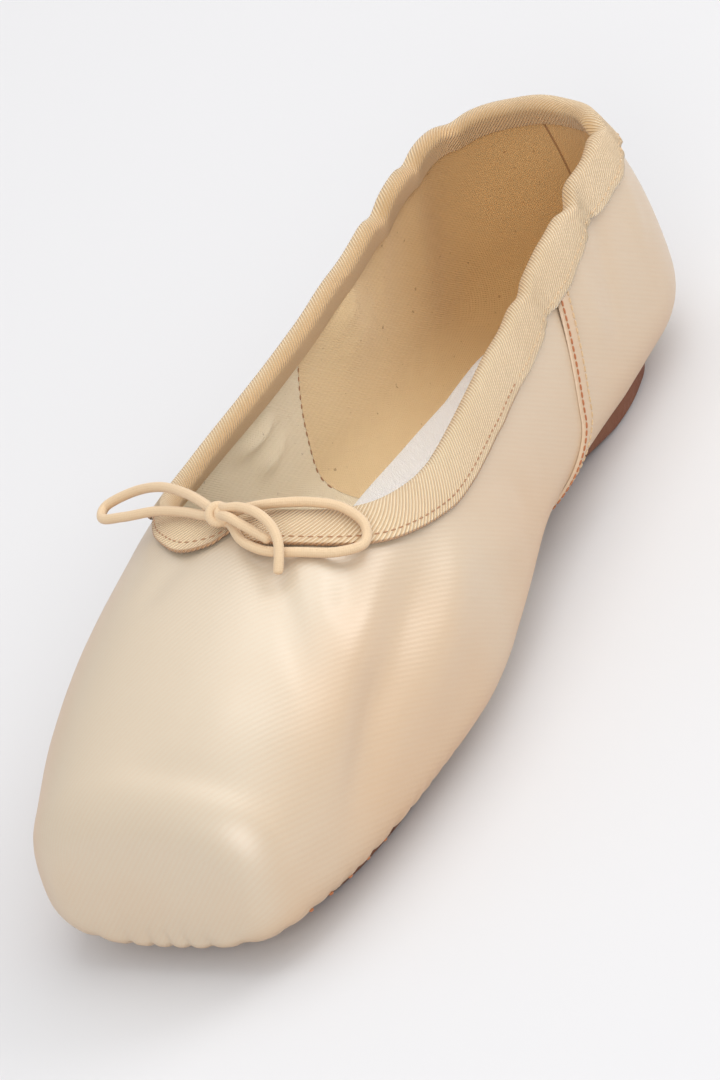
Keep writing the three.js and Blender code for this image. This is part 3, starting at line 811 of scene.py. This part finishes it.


# Painted shade: the satin turns from cream toward a deeper peach by the way it faces and by place
def satinPaintedShade(x, normals, spec):
    _, ny, nz = normals.T
    facings = {"down": -nz, "sideways": np.abs(ny), "right": -ny, "any": np.ones_like(x)}
    vamp = ease(x, *spec["vampX"])
    toeLeft = ease(x, *spec["toeX"]) * (ny > 0)
    places = {
        "all": 1.0,
        "vamp": vamp,
        "vampSides": vamp * (1 - spec["toePaler"] * toeLeft),
        "waist": np.exp(-((x - spec["waistX"]) / spec["waistWide"]) ** 2),
        "heel": 1 - ease(x, *spec["heelX"]),
    }
    return sum(share * ease(facings[way], low, high) * places[where]
               for share, way, low, high, where in spec["paintedShades"])


def satinFinish(spec):
    finish = Finish("satin")
    lengthwise, climb = finish.cloth()
    warp, weft = spec["satinThreads"]
    weave = (lengthwise * warp - climb * weft).sine()
    slub = finish.noise(1300.0, 2.0, 0.6)
    cloud = finish.noise(26.0, 3.0)
    # the side attribute deepens the cream toward peach: painted shade on the upper, an even share on the seam
    # bands; the cloud adds random tone
    tone = (finish.paint("side") + cloud * 0.4 - 0.2).within(0.0, 1.0)
    colour = finish.mix(tone, spec["cream"], spec["peach"])
    return finish.surface({
        "Base Color": finish.mix(weave * 0.045 + 0.055 + slub * 0.1, colour, spec["peach"]),
        "Roughness": 0.35 + slub * 0.08 + cloud * 0.06,
        "Metallic": 0.03,
        "Specular IOR Level": 1.0,
        "Coat Weight": 0.3,
        "Coat Roughness": 0.4,
        "Normal": finish.bump(weave * 0.035 + slub * 0.08 + cloud * 2.0, 0.00025),
    })


liningThread = 9.0  # of the weave's wave, in radians a millimetre


# Plain woven lining; ahead of its seam it may be of another cloth
def liningFinish(name, cloth, ahead=None, seam=None):
    finish = Finish(name)
    lengthwise, climb = finish.cloth()
    weave = (lengthwise * liningThread).sine() * (climb * liningThread).sine()
    speck = finish.noise(620.0, 2.0, 0.55).rise(0.7, 0.76)
    cloud = finish.noise(45.0, 3.0)
    fuzz = finish.noise(1800.0, 2.0)
    x, y, z = finish.axes(finish.spot())
    height = weave * 0.2 + fuzz * 0.18 + cloud * 1.6
    ground, fleck = cloth["ground"], cloth["fleck"]
    if ahead:
        # painted shade: the canvas deepens toward the heel
        ground = finish.mix(x.rise(-0.11, -0.035), cloth["heel"], ground)
        seamX = (seam["x"] + seam["slant"] * seam["level"] - midLength) * mm
        front = (x + z * seam["slant"]).rise(seamX - 0.0002, seamX + 0.0002)
        ground = finish.mix(front, ground, ahead["ground"])
        fleck = finish.mix(front, fleck, ahead["fleck"])
        height = height + front * 1.5
    colour = finish.mix(speck * 0.55, ground, fleck)
    share = weave * 0.035 + 0.05 + cloud * 0.2 + fuzz * 0.08 - 0.1
    colour = finish.mix(share, colour, finish.mix(0.5, colour, fleck))
    backSeam = (1.0 - abs(y).rise(0.00022, 0.0004)) * (1.0 - x.rise(-0.108, -0.1))
    return finish.surface({
        "Base Color": finish.mix(backSeam * 0.8, colour, fleck),
        "Roughness": 0.86 + speck * 0.1,
        "Specular IOR Level": 0.2,
        "Sheen Weight": 0.2,
        "Normal": finish.bump(height, 0.0003),
    })


satin = satinFinish(upperSet)
lining = liningFinish("lining_cloth", upperSet["canvas"], upperSet["linen"], upperSet["liningSeam"])


def makeUpper(spec):
    x, turn = upperStations(spec)
    rib = ribAt(x, turn)
    low = sweepAtWidth(rib, openingAt(x, turn))
    grids = []
    for side, flip in ((1, False), (-1, True)):
        height = collarHeight(x, rib) + collarWave(x, side)
        high = np.where(x < last["throatX"], sweepAtHeight(rib, height), 2.0)
        points, cloth = ribGrid(x, turn, low, high, spec)
        front = points[0]
        middle = (front[0] + front[-1]) / 2
        shares = np.linspace(0, 1, spec["platformRings"])[:, None, None]
        platform = middle + (front - middle) * shares
        platform[..., 0] += last["bulge"] * (1 - shares[..., 0] ** 2)
        platformCloth = np.stack([platform[..., 2] - front[-1, 2], side * platform[..., 1]], -1)
        grids.append((platform * (1, side, 1), platformCloth, flip))
        grids.append((points * (1, side, 1), cloth * (1, side), flip))
    skin, faces, cloth = sew(grids)
    normals = vertexNormals(skin, faces)
    lift = creaseLift(skin, spec["knotCreases"], 1.0) + creaseLift(skin, spec["creases"])
    lift = lift + pleatLift(skin, spec["pleats"])
    outer = skin + normals * lift[:, None]
    wall = along(wallTable, "thick", skin[:, 0]) + creaseLift(skin, spec["liningFolds"])
    inner = outer - normals * wall[:, None]
    sewn = thicken(outer, inner, faces, cloth)
    lined = np.zeros(len(sewn[1]), int)
    lined[len(faces):2 * len(faces)] = 1
    # painted shade of the satin, kept in the side attribute
    paints = {"side": np.tile(satinPaintedShade(skin[:, 0], normals, spec), 2)}
    buildPiece("satin_upper", sewn, [satin, lining], ("upper",), paints, lined)


makeUpper(upperSet)
print("upper lasted")


# Rows of small thread stitches
stitchGrid = {"along": 7, "around": 9, "lookAhead": 0.4}


def stitchRow(name, line, ways, spec, finish):
    travel = travelled(line)
    shares = np.linspace(-1, 1, stitchGrid["along"])[:, None, None]
    angles = np.linspace(0, 2 * np.pi, stitchGrid["around"])[None, :, None]
    girth = np.sqrt(np.maximum(1 - shares ** 2, 0))
    grids = []
    for start in np.arange(spec["pitch"] / 2, travel[-1] - spec["pitch"] / 2, spec["pitch"]):
        centre = atTravel(line, travel, start)
        out = unit(atTravel(ways, travel, start))
        forward = unit(atTravel(line, travel, start + stitchGrid["lookAhead"]) - centre + tiny)
        across = np.cross(out, forward)
        ring = np.cos(angles) * across * spec["wide"] / 2 + np.sin(angles) * out * spec["high"]
        rows = centre + shares * forward * spec["long"] / 2 + ring * girth
        grids.append((rows, np.zeros(rows.shape[:2] + (2,)), True))
    buildPiece(name, sew(grids), [finish])


def threadFinish(name, colour, shade):
    finish = Finish(name)
    fibre = finish.noise(3000.0, 2.0)
    return finish.surface({
        "Base Color": finish.mix(fibre, colour, shade),
        "Roughness": 0.5 + fibre * 0.2,
        "Sheen Weight": 0.2,
    })


brownThread = threadFinish("brown_thread", tint(196, 124, 76), tint(160, 92, 54))
umberThread = threadFinish("umber_thread", tint(188, 142, 104), tint(156, 110, 76))
paleThread = threadFinish("pale_thread", tint(232, 206, 168), tint(190, 152, 110))


# Seam between the two linings, and small brown stitches along the toe pleats: painted shade, dark marks
# standing for the shadowed pleat folds
def makeUpperStitches(spec):
    seam = spec["liningSeam"]
    sweeps = np.linspace(seam["low"], seam["high"], seam["steps"])
    x = np.full(len(sweeps), float(seam["x"]))
    for _ in range(3):  # the slant moves x, which changes the rib a little
        r, z = onRib(ribAt(x, np.zeros_like(x)), sweeps)
        x = seam["x"] - seam["slant"] * (z - seam["level"])
    tacks = spec["pleatShadeMarks"]
    tackX = np.linspace(tacks["from"], tacks["to"], tacks["steps"])
    for side, name in ((1, "left"), (-1, "right")):
        spots = np.stack([x, side * r, z], -1)
        ways = -unit(wayOut(spots))
        wall = along(wallTable, "thick", x) + creaseLift(spots, spec["liningFolds"])
        line = spots + ways * (wall - creaseLift(spots, spec["creases"]))[:, None]
        stitchRow(f"lining_stitches_{name}", line, ways, spec["liningStitch"], umberThread)
        # painted shade: brown stitch marks where the pleat folds lie in shade
        spots = onLast(tackX, np.full(len(tackX), tacks["sweep"]), side)
        stitchRow(f"toe_pleat_shade_marks_{name}", spots, unit(wayOut(spots)), spec["pleatShadeStitch"], brownThread)


makeUpperStitches(upperSet)
print("linings and pleats stitched")

# Tape bound over the collar
tape = {
    "thick": 1.0,
    "outside": 9.0,
    "inside": 5.0,
    "roll": 1.25,
    "rollSteps": 8,
    "puff": 0.14,
    "edgeLift": 0.35,
    # corners of the section, as shares of the tape's width outside and inside
    "outerShares": (1.0, 0.93, 0.8, 0.62, 0.45, 0.28, 0.12),
    "innerShares": (0.2, 0.45, 0.7, 0.95, 1.0),
    "backShares": (1.0, 0.5, 0.15),
    "seatShares": (0.3, 0.6),
    "loopSteps": (40, 90, 40),
    "stations": 420,
    "vampFrom": 150.0,
    "heelX": (25, 95),
    "throatX": (140, 160),
    "gathers": [(9.3, 1.7, 0.2), (15.7, 2.6, 0.3), (23.0, 0.5, 0.3)],  # length, start and height
    "gatherFront": 0.2,
    "gatherHeel": 0.9,
    "scallop": 0.9,
    "standOff": 0.4,  # of the gathers
    "heelStandOff": 0.25,
    "edgeStays": 0.7,  # how much of the collar's waves the lower edge leaves out
    "upBias": 0.6,
    "pinchIn": 0.48,
    "crimp": {"pitch": 3.2, "high": 0.42},
    "lobes": [  # at the throat: the rounded end, the gap under the knot, the tuck on the far side
        {"y": -7.5, "wide": 5.5, "drop": 2.6},
        {"y": 2.0, "wide": 2.6, "drop": -4.0},
        {"y": -27.0, "wide": 8.0, "drop": -9.0},
    ],
    "brownFrom": 95.0,
    "pale": tint(242, 219, 184),
    "deep": tint(200, 158, 106),
    # colour of the painted shade on the tape's inner leg, inside the collar
    "inner": tint(218, 172, 114),
    "edgePale": tint(242, 222, 194),
    "edgeBrown": tint(192, 142, 100),
    "twill": (7.0, 6.4),  # along and across, in radians a millimetre
    "stitch": {"pitch": 2.0, "long": 1.4, "wide": 0.38, "high": 0.2, "corner": 3},
}


# The collar's edge all round, with its lengths, its waves and its pinches
def collarLoop(spec):
    x, turn = collarStations(*spec["loopSteps"])
    rib = ribAt(x, turn)
    r, z = onRib(rib, sweepAtHeight(rib, collarHeight(x, rib)))
    edge = place(x, turn, r, z)
    edge[[0, -1], 1] = 0
    loop = np.vstack([edge, edge[-2:0:-1] * (1, -1, 1), edge[:1]])
    travel = travelled(loop)
    want = np.linspace(0, travel[-1], 2 * spec["stations"] + 1)
    drawn = []
    for measure in (collarWave, pinchAt):
        near, far = measure(x, 1), measure(x, -1)
        drawn.append(np.interp(want, travel, np.concatenate([near, far[-2:0:-1], near[:1]])))
    return atTravel(loop, travel, want), want, *drawn


# Corners of the folded tape's section, outer edge first: how far down from the collar, how far off the last
def tapeCorners(spec, width, stand, wall):
    gap, thick, puff = last["fitGap"], spec["thick"], spec["puff"]
    back = -wall - last["innerGap"]
    outFace, inFace = gap + thick, back - thick
    corners = []
    for share, lift in [(1.0, spec["edgeLift"])] + [(share, 1.0) for share in spec["outerShares"]]:
        swell = puff * math.sin(math.pi * share) + stand * share
        corners.append((width * share, gap + thick * lift + swell))
    middle, reach = (outFace + inFace) / 2, (outFace - inFace) / 2
    for angle in np.linspace(0, np.pi, spec["rollSteps"] + 1):
        corners.append((-spec["roll"] * math.sin(angle), middle + reach * math.cos(angle)))
    for share in spec["innerShares"]:
        corners.append((spec["inside"] * share, inFace - puff * math.sin(math.pi * share)))
    corners += [(spec["inside"] * share, back) for share in spec["backShares"]]
    corners += [(-gap, back), (-gap, gap)]
    return corners + [(width * share, gap) for share in spec["seatShares"]]


def tapeFinish(spec):
    finish = Finish("twill_tape")
    lengthwise, across = finish.cloth()
    warp, weft = spec["twill"]
    twill = (lengthwise * warp - across * weft).sine()
    fuzz = finish.noise(1400.0, 3.0, 0.6)
    cloud = finish.noise(60.0, 3.0)
    share = twill.rise(-0.3, 0.9) * 0.58 + cloud * 0.4 - 0.12
    colour = finish.mix(share.within(0.0, 1.0), spec["pale"], spec["deep"])
    # painted shade: the inner leg of the tape is warmer and deeper in colour
    colour = finish.mix(across.rise(10.0, 13.0) * 0.6, colour, spec["inner"])
    brownFrom = (spec["brownFrom"] - midLength) * mm
    brown = finish.axes(finish.spot())[0].rise(brownFrom - 0.01, brownFrom + 0.01)
    edging = finish.mix(brown, spec["edgePale"], spec["edgeBrown"])
    return finish.surface({
        "Base Color": finish.mix((1.0 - across.rise(0.75, 1.1)) * 0.75, colour, edging),
        "Roughness": 0.78 + fuzz * 0.14,
        "Specular IOR Level": 0.25,
        "Sheen Weight": 0.25,
        "Normal": finish.bump(twill * -0.8 + fuzz * 0.6, 0.0002),
    })


def makeTape(spec):
    edge, travel, wave, pinch = (part[:-1] for part in collarLoop(spec))
    x, y = edge[:, 0], edge[:, 1]
    onVamp = (x > spec["vampFrom"])[:, None]
    out = unit(wayOut(edge))
    up = unit(np.cross(out, np.roll(edge, -1, axis=0) - np.roll(edge, 1, axis=0)))
    up *= np.sign(up[:, 2:3] + spec["upBias"] * ~onVamp)
    up = np.where(onVamp & (up[:, 0:1] > 0), -up, up)
    towardHeel = 1 - ease(x, *spec["heelX"])
    atThroat = ease(x, *spec["throatX"])
    turns = 2 * np.pi * travel
    ripple = sum(high * np.sin(turns / long + start) for long, start, high in spec["gathers"])
    ripple = ripple * (spec["gatherFront"] + spec["gatherHeel"] * towardHeel)
    width = (spec["outside"] + spec["scallop"] * ripple) * (1 - spec["pinchIn"] * pinch)
    for lobe in spec["lobes"]:
        width = width + lobe["drop"] * atThroat * np.exp(-((y - lobe["y"]) / lobe["wide"]) ** 2)
    crimp = spec["crimp"]["high"] * np.sqrt(pinch) * np.sin(turns / spec["crimp"]["pitch"])
    stand = spec["standOff"] * ripple + crimp + spec["heelStandOff"] * towardHeel
    columns, mapped = [], []
    girth = 0.0
    for down, off in tapeCorners(spec, width, stand, along(wallTable, "thick", x)):
        down = np.broadcast_to(down, travel.shape)
        off = np.broadcast_to(off, travel.shape)
        follow = wave * (1 - spec["edgeStays"] * np.clip(down / spec["outside"], 0, 1))
        foot = edge - up * (down - follow)[:, None]
        under = (down > 0)[:, None]
        foot = np.where(under, ontoLast(foot), foot)
        way = np.where(under, unit(wayOut(foot)), out)
        columns.append(foot + way * off[:, None])
        if len(columns) > 1:
            girth += float(np.linalg.norm(columns[-1] - columns[-2], axis=1).mean())
        mapped.append(np.stack([travel, np.full(travel.shape, girth)], -1))
    rows = np.stack(columns + columns[:1], axis=1)
    rows = np.concatenate([rows, rows[:1]])
    cloth = np.stack(mapped + mapped[:1], axis=1)
    cloth = np.concatenate([cloth, cloth[:1] + (travel[-1] + travel[1], 0)])
    sewn = sew([(rows, cloth, False)])
    buildPiece("collar_tape", sewn, [tapeFinish(spec)], ("collar_binding",))
    line = columns[spec["stitch"]["corner"]]
    ways = unit(wayOut(line))
    front = np.flatnonzero(x > spec["brownFrom"])
    front = np.roll(front, -int(np.argmax(np.diff(front))) - 1)  # from one side over the throat to the other
    rear = np.flatnonzero(x <= spec["brownFrom"])
    for name, part, thread in (("front", front, umberThread), ("rear", rear, paleThread)):
        stitchRow(f"tape_stitches_{name}", line[part], ways[part], spec["stitch"], thread)


makeTape(tape)
print("collar bound")


# Flat plates: places over an outline, crowded toward its edges, and the grids of their faces
plateCrowd = 0.86


def plateRows(table, xs, columns):
    angles = np.linspace(-np.pi / 2, np.pi / 2, columns + 1) * plateCrowd
    shares = np.sin(angles) / math.sin(plateCrowd * np.pi / 2)
    half = along(table, "half", xs)
    x = np.broadcast_to(xs[:, None], (len(xs), columns + 1))
    return x, shares[None, :] * half[:, None], (1 - np.abs(shares[None, :])) * half[:, None]


def endSteps(first, final, step):
    count = max(4, int((final - first) / step))
    return np.linspace(first, final, count + 1)


def plateGrids(low, top, levels, bulge=0.0):
    flat = low[..., :2]
    shares = np.linspace(0, 1, levels)[:, None, None]
    grids = [(top, flat, False), (low, flat, True)]
    sides = [(np.s_[:, 0], True, bulge), (np.s_[:, -1], False, bulge)]
    ends = [(np.s_[0], False, 0.0), (np.s_[-1], True, 0.0)]
    for side, flip, out in sides + ends:
        strip = low[side] + (top[side] - low[side]) * shares
        strip[1:-1, 1:-1, 1] += out * np.sign(strip[1:-1, 1:-1, 1])
        grids.append((strip, np.broadcast_to(flat[side], strip.shape[:2] + (2,)), flip))
    return grids


# Leather outsole with its score lines
sole = {
    "rearStep": 1.2,
    "frontStep": 0.55,
    "scoreFrom": 118.0,
    "columns": 104,
    "bevel": 1.6,
    "bevelWide": 2.4,
    "bevelTurn": 0.98,
    "bevelAtEnds": 1.2,
    "edgeBulge": 0.15,
    "scoreFade": (0.4, 2.0),
    "scores": {"rear": 146.0, "spacing": 11.5, "count": 9, "slope": 0.86, "wide": 0.45, "deep": 0.35,
               "cut": 0.2},
    "tacks": [(172, 7), (138, -1.5), (112, 2), (66, -3), (44, 5), (30, -6)],
    "tackWide": 0.8,
    "tackDeep": 0.35,
    "rim": (0.2, 4.5),
    "brown": tint(158, 98, 70),
    "dark": tint(92, 50, 34),
    "worn": tint(186, 134, 102),
}


def scoreLift(x, y, scores):
    lift = np.zeros_like(x)
    for k in range(scores["count"]):
        for way in (1, -1):
            off = y - way * scores["slope"] * (x - scores["rear"] - k * scores["spacing"])
            off = off / math.hypot(1, scores["slope"])
            lift = np.maximum(lift, np.exp(-(off / scores["wide"]) ** 2))
    return lift


def tackDots(x, y, spec):
    dots = np.zeros_like(x)
    for tackX, tackY in spec["tacks"]:
        dots = np.maximum(dots, np.exp(-((x - tackX) ** 2 + (y - tackY) ** 2) / spec["tackWide"] ** 2))
    return dots


def leatherFinish(spec):
    finish = Finish("sole_leather")
    scores = spec["scores"]
    x, y, _ = finish.axes(finish.spot())
    score = finish.paint("tacks")
    across = scores["spacing"] * scores["slope"] / math.hypot(1, scores["slope"])
    for way in (1, -1):
        cut = x * (1 / mm) - y * (way / scores["slope"] / mm)
        cut = (cut + midLength - scores["rear"]) * (1 / scores["spacing"])
        off = abs(cut - cut.nearest()) * across
        score = score.most((1.0 - off.rise(scores["cut"], 2 * scores["cut"])) * cut.rise(-0.3, -0.25))
    rim = finish.paint("rim")
    grain = finish.noise(700.0, 4.0, 0.6)
    cloud = finish.noise(32.0, 4.0, 0.6)
    scuff = finish.noise(90.0, 5.0, 0.7).rise(0.56, 0.72)
    colour = finish.mix(cloud.rise(0.3, 0.7), spec["brown"], spec["worn"])
    colour = finish.mix(scuff * 0.35, colour, spec["worn"])
    colour = finish.mix(grain * 0.3, colour, spec["dark"])
    return finish.surface({
        "Base Color": finish.mix((score * 0.85).most(rim * 0.6), colour, spec["dark"]),
        "Roughness": 0.55 + scuff * 0.2 + grain * 0.12,
        "Specular IOR Level": 0.35,
        "Normal": finish.bump(grain * 0.8 + scuff * 0.4, 0.0003),
    })


def makeSole(spec):
    first, final = soleTable["x"][0], soleTable["x"][-1]
    rear = endSteps(first, spec["scoreFrom"], spec["rearStep"])[:-1]
    xs = np.concatenate([rear, endSteps(spec["scoreFrom"], final, spec["frontStep"])])
    x, y, fromSide = plateRows(soleTable, xs, spec["columns"])
    fromEdge = np.minimum(fromSide, np.minimum(x - first, final - x) * spec["bevelAtEnds"])
    nearEdge = 1 - np.clip(fromEdge / spec["bevelWide"], 0, 1)
    bevel = spec["bevel"] * (1 - np.sqrt(1 - nearEdge ** 2 * spec["bevelTurn"]))
    score = scoreLift(x, y, spec["scores"]) * ease(fromEdge, *spec["scoreFade"]) * spec["scores"]["deep"]
    z = along(undersideTable, "rise", x) + bevel + score + tackDots(x, y, spec) * spec["tackDeep"]
    low = np.stack([x, y, z], -1)
    top = np.stack([x, y, floorAt(x, y) - last["fitGap"]], -1)
    points, faces, cloth = sew(plateGrids(low, top, levels=3, bulge=spec["edgeBulge"]))
    px, py = points[:, 0], points[:, 1]
    edge = np.minimum(along(soleTable, "half", px) - np.abs(py), np.minimum(px - first, final - px))
    paints = {"tacks": tackDots(px, py, spec), "rim": 1 - ease(edge, *spec["rim"])}
    finish = leatherFinish(spec)
    buildPiece("leather_sole", (points, faces, cloth), [finish], ("outsole",), paints)


makeSole(sole)
print("sole scored")

# Cloth insole
sock = {
    "thick": 1.4,
    "edgeShare": 0.45,
    "edgeWide": 2.0,
    "step": 1.6,
    "columns": 40,
    "cloth": {"ground": tint(251, 252, 254), "fleck": tint(208, 205, 200)},
}


def makeInsole(spec):
    xs = endSteps(insoleTable["x"][0], insoleTable["x"][-1], spec["step"])
    x, y, fromSide = plateRows(insoleTable, xs, spec["columns"])
    under = floorAt(x, y) + along(wallTable, "thick", x) + last["innerGap"]
    edge = np.minimum(1, fromSide / spec["edgeWide"])
    full = spec["edgeShare"] + (1 - spec["edgeShare"]) * np.sqrt(1 - (1 - edge) ** 2)
    low = np.stack([x, y, under], -1)
    top = np.stack([x, y, under + spec["thick"] * full], -1)
    finish = liningFinish("insole_cloth", spec["cloth"])
    buildPiece("cloth_insole", sew(plateGrids(low, top, levels=2)), [finish], ("insole",))


makeInsole(sock)
print("insole laid")

# Satin strip over the back seam and the raised side seams
seams = {
    "clear": 1.2,
    "underTape": 1.6,
    "steps": 60,
    "sideLift": 0.5,  # shares of the fit gap under the band's sides and its back
    "backLift": 0.2,
    "roundPower": 4,
    "tone": 0.45,
    "clothHalf": 6.0,
    "strip": {
        "wide": 13.0,
        "thick": 0.8,
        "columns": 17,
        "stitch": {"pitch": 2.6, "long": 1.9, "wide": 0.5, "high": 0.3, "inset": 1.5},
    },
    "side": {
        "wide": 5.5,
        "thick": 0.6,
        "columns": 13,
        "topX": 64.0,
        "soleX": 108.0,
        "stitch": {"pitch": 1.7, "long": 1.55, "wide": 0.5, "high": 0.25, "inset": 0.9},
    },
}


# A band raised on the last, rounded at its sides, with a row of stitches along each
def sewnBand(name, rows, band, flip, node, threads):
    shares = np.linspace(-1, 1, band["columns"])
    lengths = travelled(rows[:, band["columns"] // 2])[:, None]
    cloth = np.stack(np.broadcast_arrays(lengths, shares[None, :] * seams["clothHalf"]), -1)
    skin, faces, cloth = sew([(rows, cloth, flip)])
    normals = vertexNormals(skin, faces)
    across = np.zeros(len(skin))
    across[faces] = cloth[..., 1] / seams["clothHalf"]
    height = np.sqrt(np.maximum(1 - across ** seams["roundPower"], 0))
    gap = last["fitGap"]
    rim = gap * seams["sideLift"]
    outer = skin + normals * (rim + (gap - rim + band["thick"]) * height)[:, None]
    sewn = thicken(outer, skin + normals * (gap * seams["backLift"]), faces, cloth)
    buildPiece(name, sewn, [satin], (node,), {"side": np.full(len(sewn[0]), seams["tone"])})
    stitch = band["stitch"]
    inset = 1 - 2 * stitch["inset"] / band["wide"]
    for (rowName, thread), share in zip(threads, (inset, -inset)):
        line = np.stack([atTravel(row, shares, share) for row in rows])
        ways = unit(wayOut(line))
        stitchRow(rowName, line + ways * (gap + band["thick"]), ways, stitch, thread)


def bandTop(x):
    return along(collarTable, "height", x) - tape["outside"] - seams["clear"] + seams["underTape"]


def makeStrip(band):
    back = {name: float(value) for name, value in ribAt(np.array(0.0), np.array(np.pi / 2)).items()}
    lowReach = last["heelCentre"] - soleTable["x"][0] + seams["clear"]
    sweeps = np.linspace(sweepAtWidth(back, lowReach), sweepAtHeight(back, bandTop(0.0)), seams["steps"])
    backR, backZ = (part[:, None] for part in onRib(back, sweeps))
    shares = np.linspace(-1, 1, band["columns"])[None, :]
    turn = np.pi / 2 - np.arcsin(shares * band["wide"] / 2 / backR)
    folded = np.minimum(turn, np.pi - turn)
    rib = ribAt(np.zeros_like(folded), folded)
    climb = sweepAtHeight(rib, backZ)
    spread = sweepAtWidth(rib, backR * rib["half"] / back["half"])
    r, z = onRib(rib, np.where(backZ > back["widest"], climb, spread))
    rows = np.stack([last["heelCentre"] - r * np.sin(turn), r * np.cos(turn), z], -1)
    threads = (("heel_stitches_left", brownThread), ("heel_stitches_right", brownThread))
    sewnBand("heel_band", rows, band, False, "heel_strip", threads)


def makeSideSeam(band, side, name):
    topX, soleX = band["topX"], band["soleX"]
    flat = np.array(0.0)
    topSweep = sweepAtHeight(ribAt(np.array(topX), flat), bandTop(topX))
    lowest = along(soleTable, "half", soleX) + seams["clear"]
    lowSweep = sweepAtWidth(ribAt(np.array(soleX), flat), lowest)
    t = np.linspace(0, 1, seams["steps"])[:, None]
    x = topX + (soleX - topX) * t + np.linspace(-1, 1, band["columns"])[None, :] * band["wide"] / 2
    r, z = onRib(ribAt(x, np.zeros_like(x)), topSweep + (lowSweep - topSweep) * t)
    rows = np.stack([x, side * r, z], -1)
    threads = ((f"seam_{name}_front", brownThread), (f"seam_{name}_back", paleThread))
    sewnBand(f"seam_{name}", rows, band, side > 0, f"side_seam_{name}", threads)


makeStrip(seams["strip"])
makeSideSeam(seams["side"], 1, "left")
makeSideSeam(seams["side"], -1, "right")
print("seams sewn")

# Floor, light and air
studio = {
    "floor": tint(219, 219, 221),
    "floorLevel": -0.0002,
    "floorHalf": 4.0,
    "zenith": (1.0, 1.0, 1.0, 1.0),
    "horizon": (0.66, 0.66, 0.67, 1.0),
    "skyBand": (0.05, 0.8),
    "airStrength": 0.78,
    "lightAim": (0, 0, 0.03),
    "lights": [
        {"name": "overhead", "at": (-0.4, 0.1, 1.45), "size": 1.5, "power": 8.0, "colour": (1.0, 0.99, 0.98)},
        {"name": "front", "at": (1.4, 0.7, 0.8), "size": 1.0, "power": 10.0, "colour": (1.0, 0.99, 0.98)},
        {"name": "back", "at": (-1.2, 1.0, 1.1), "size": 1.0, "power": 9.5, "colour": (1.0, 0.98, 0.96)},
    ],
}


def makeFloor(spec):
    far = spec["floorHalf"]
    mesh = bpy.data.meshes.new("floor")
    mesh.from_pydata([(-far, -far, 0), (far, -far, 0), (far, far, 0), (-far, far, 0)], [], [(0, 1, 2, 3)])
    floor = bpy.data.objects.new("floor", mesh)
    floor.location.z = spec["floorLevel"]
    scene.collection.objects.link(floor)
    finish = Finish("floor_paper")
    finish.surface({"Base Color": spec["floor"], "Roughness": 0.85})
    mesh.materials.append(finish.block)


def makeLights(spec):
    for light in spec["lights"]:
        data = bpy.data.lights.new(light["name"], "AREA")
        data.shape = "DISK"
        data.size = light["size"]
        data.energy = light["power"]
        data.color = light["colour"]
        lamp = bpy.data.objects.new(light["name"], data)
        lamp.location = light["at"]
        facing = Vector(spec["lightAim"]) - Vector(light["at"])
        lamp.rotation_euler = facing.to_track_quat("-Z", "Y").to_euler()
        scene.collection.objects.link(lamp)


def makeAir(spec):
    air = Finish("studio_air", bpy.data.worlds, "Background")
    low, high = spec["skyBand"]
    upward = air.axes(air.spot("Generated"))[2]
    share = ((upward - low) * (1 / (high - low))).within(0.0, 1.0)
    air.surface({"Color": air.mix(share, spec["horizon"], spec["zenith"]), "Strength": spec["airStrength"]})
    scene.world = air.block
    scene.view_settings.view_transform = "Standard"


makeFloor(studio)
makeLights(studio)
makeAir(studio)
print("studio lit")
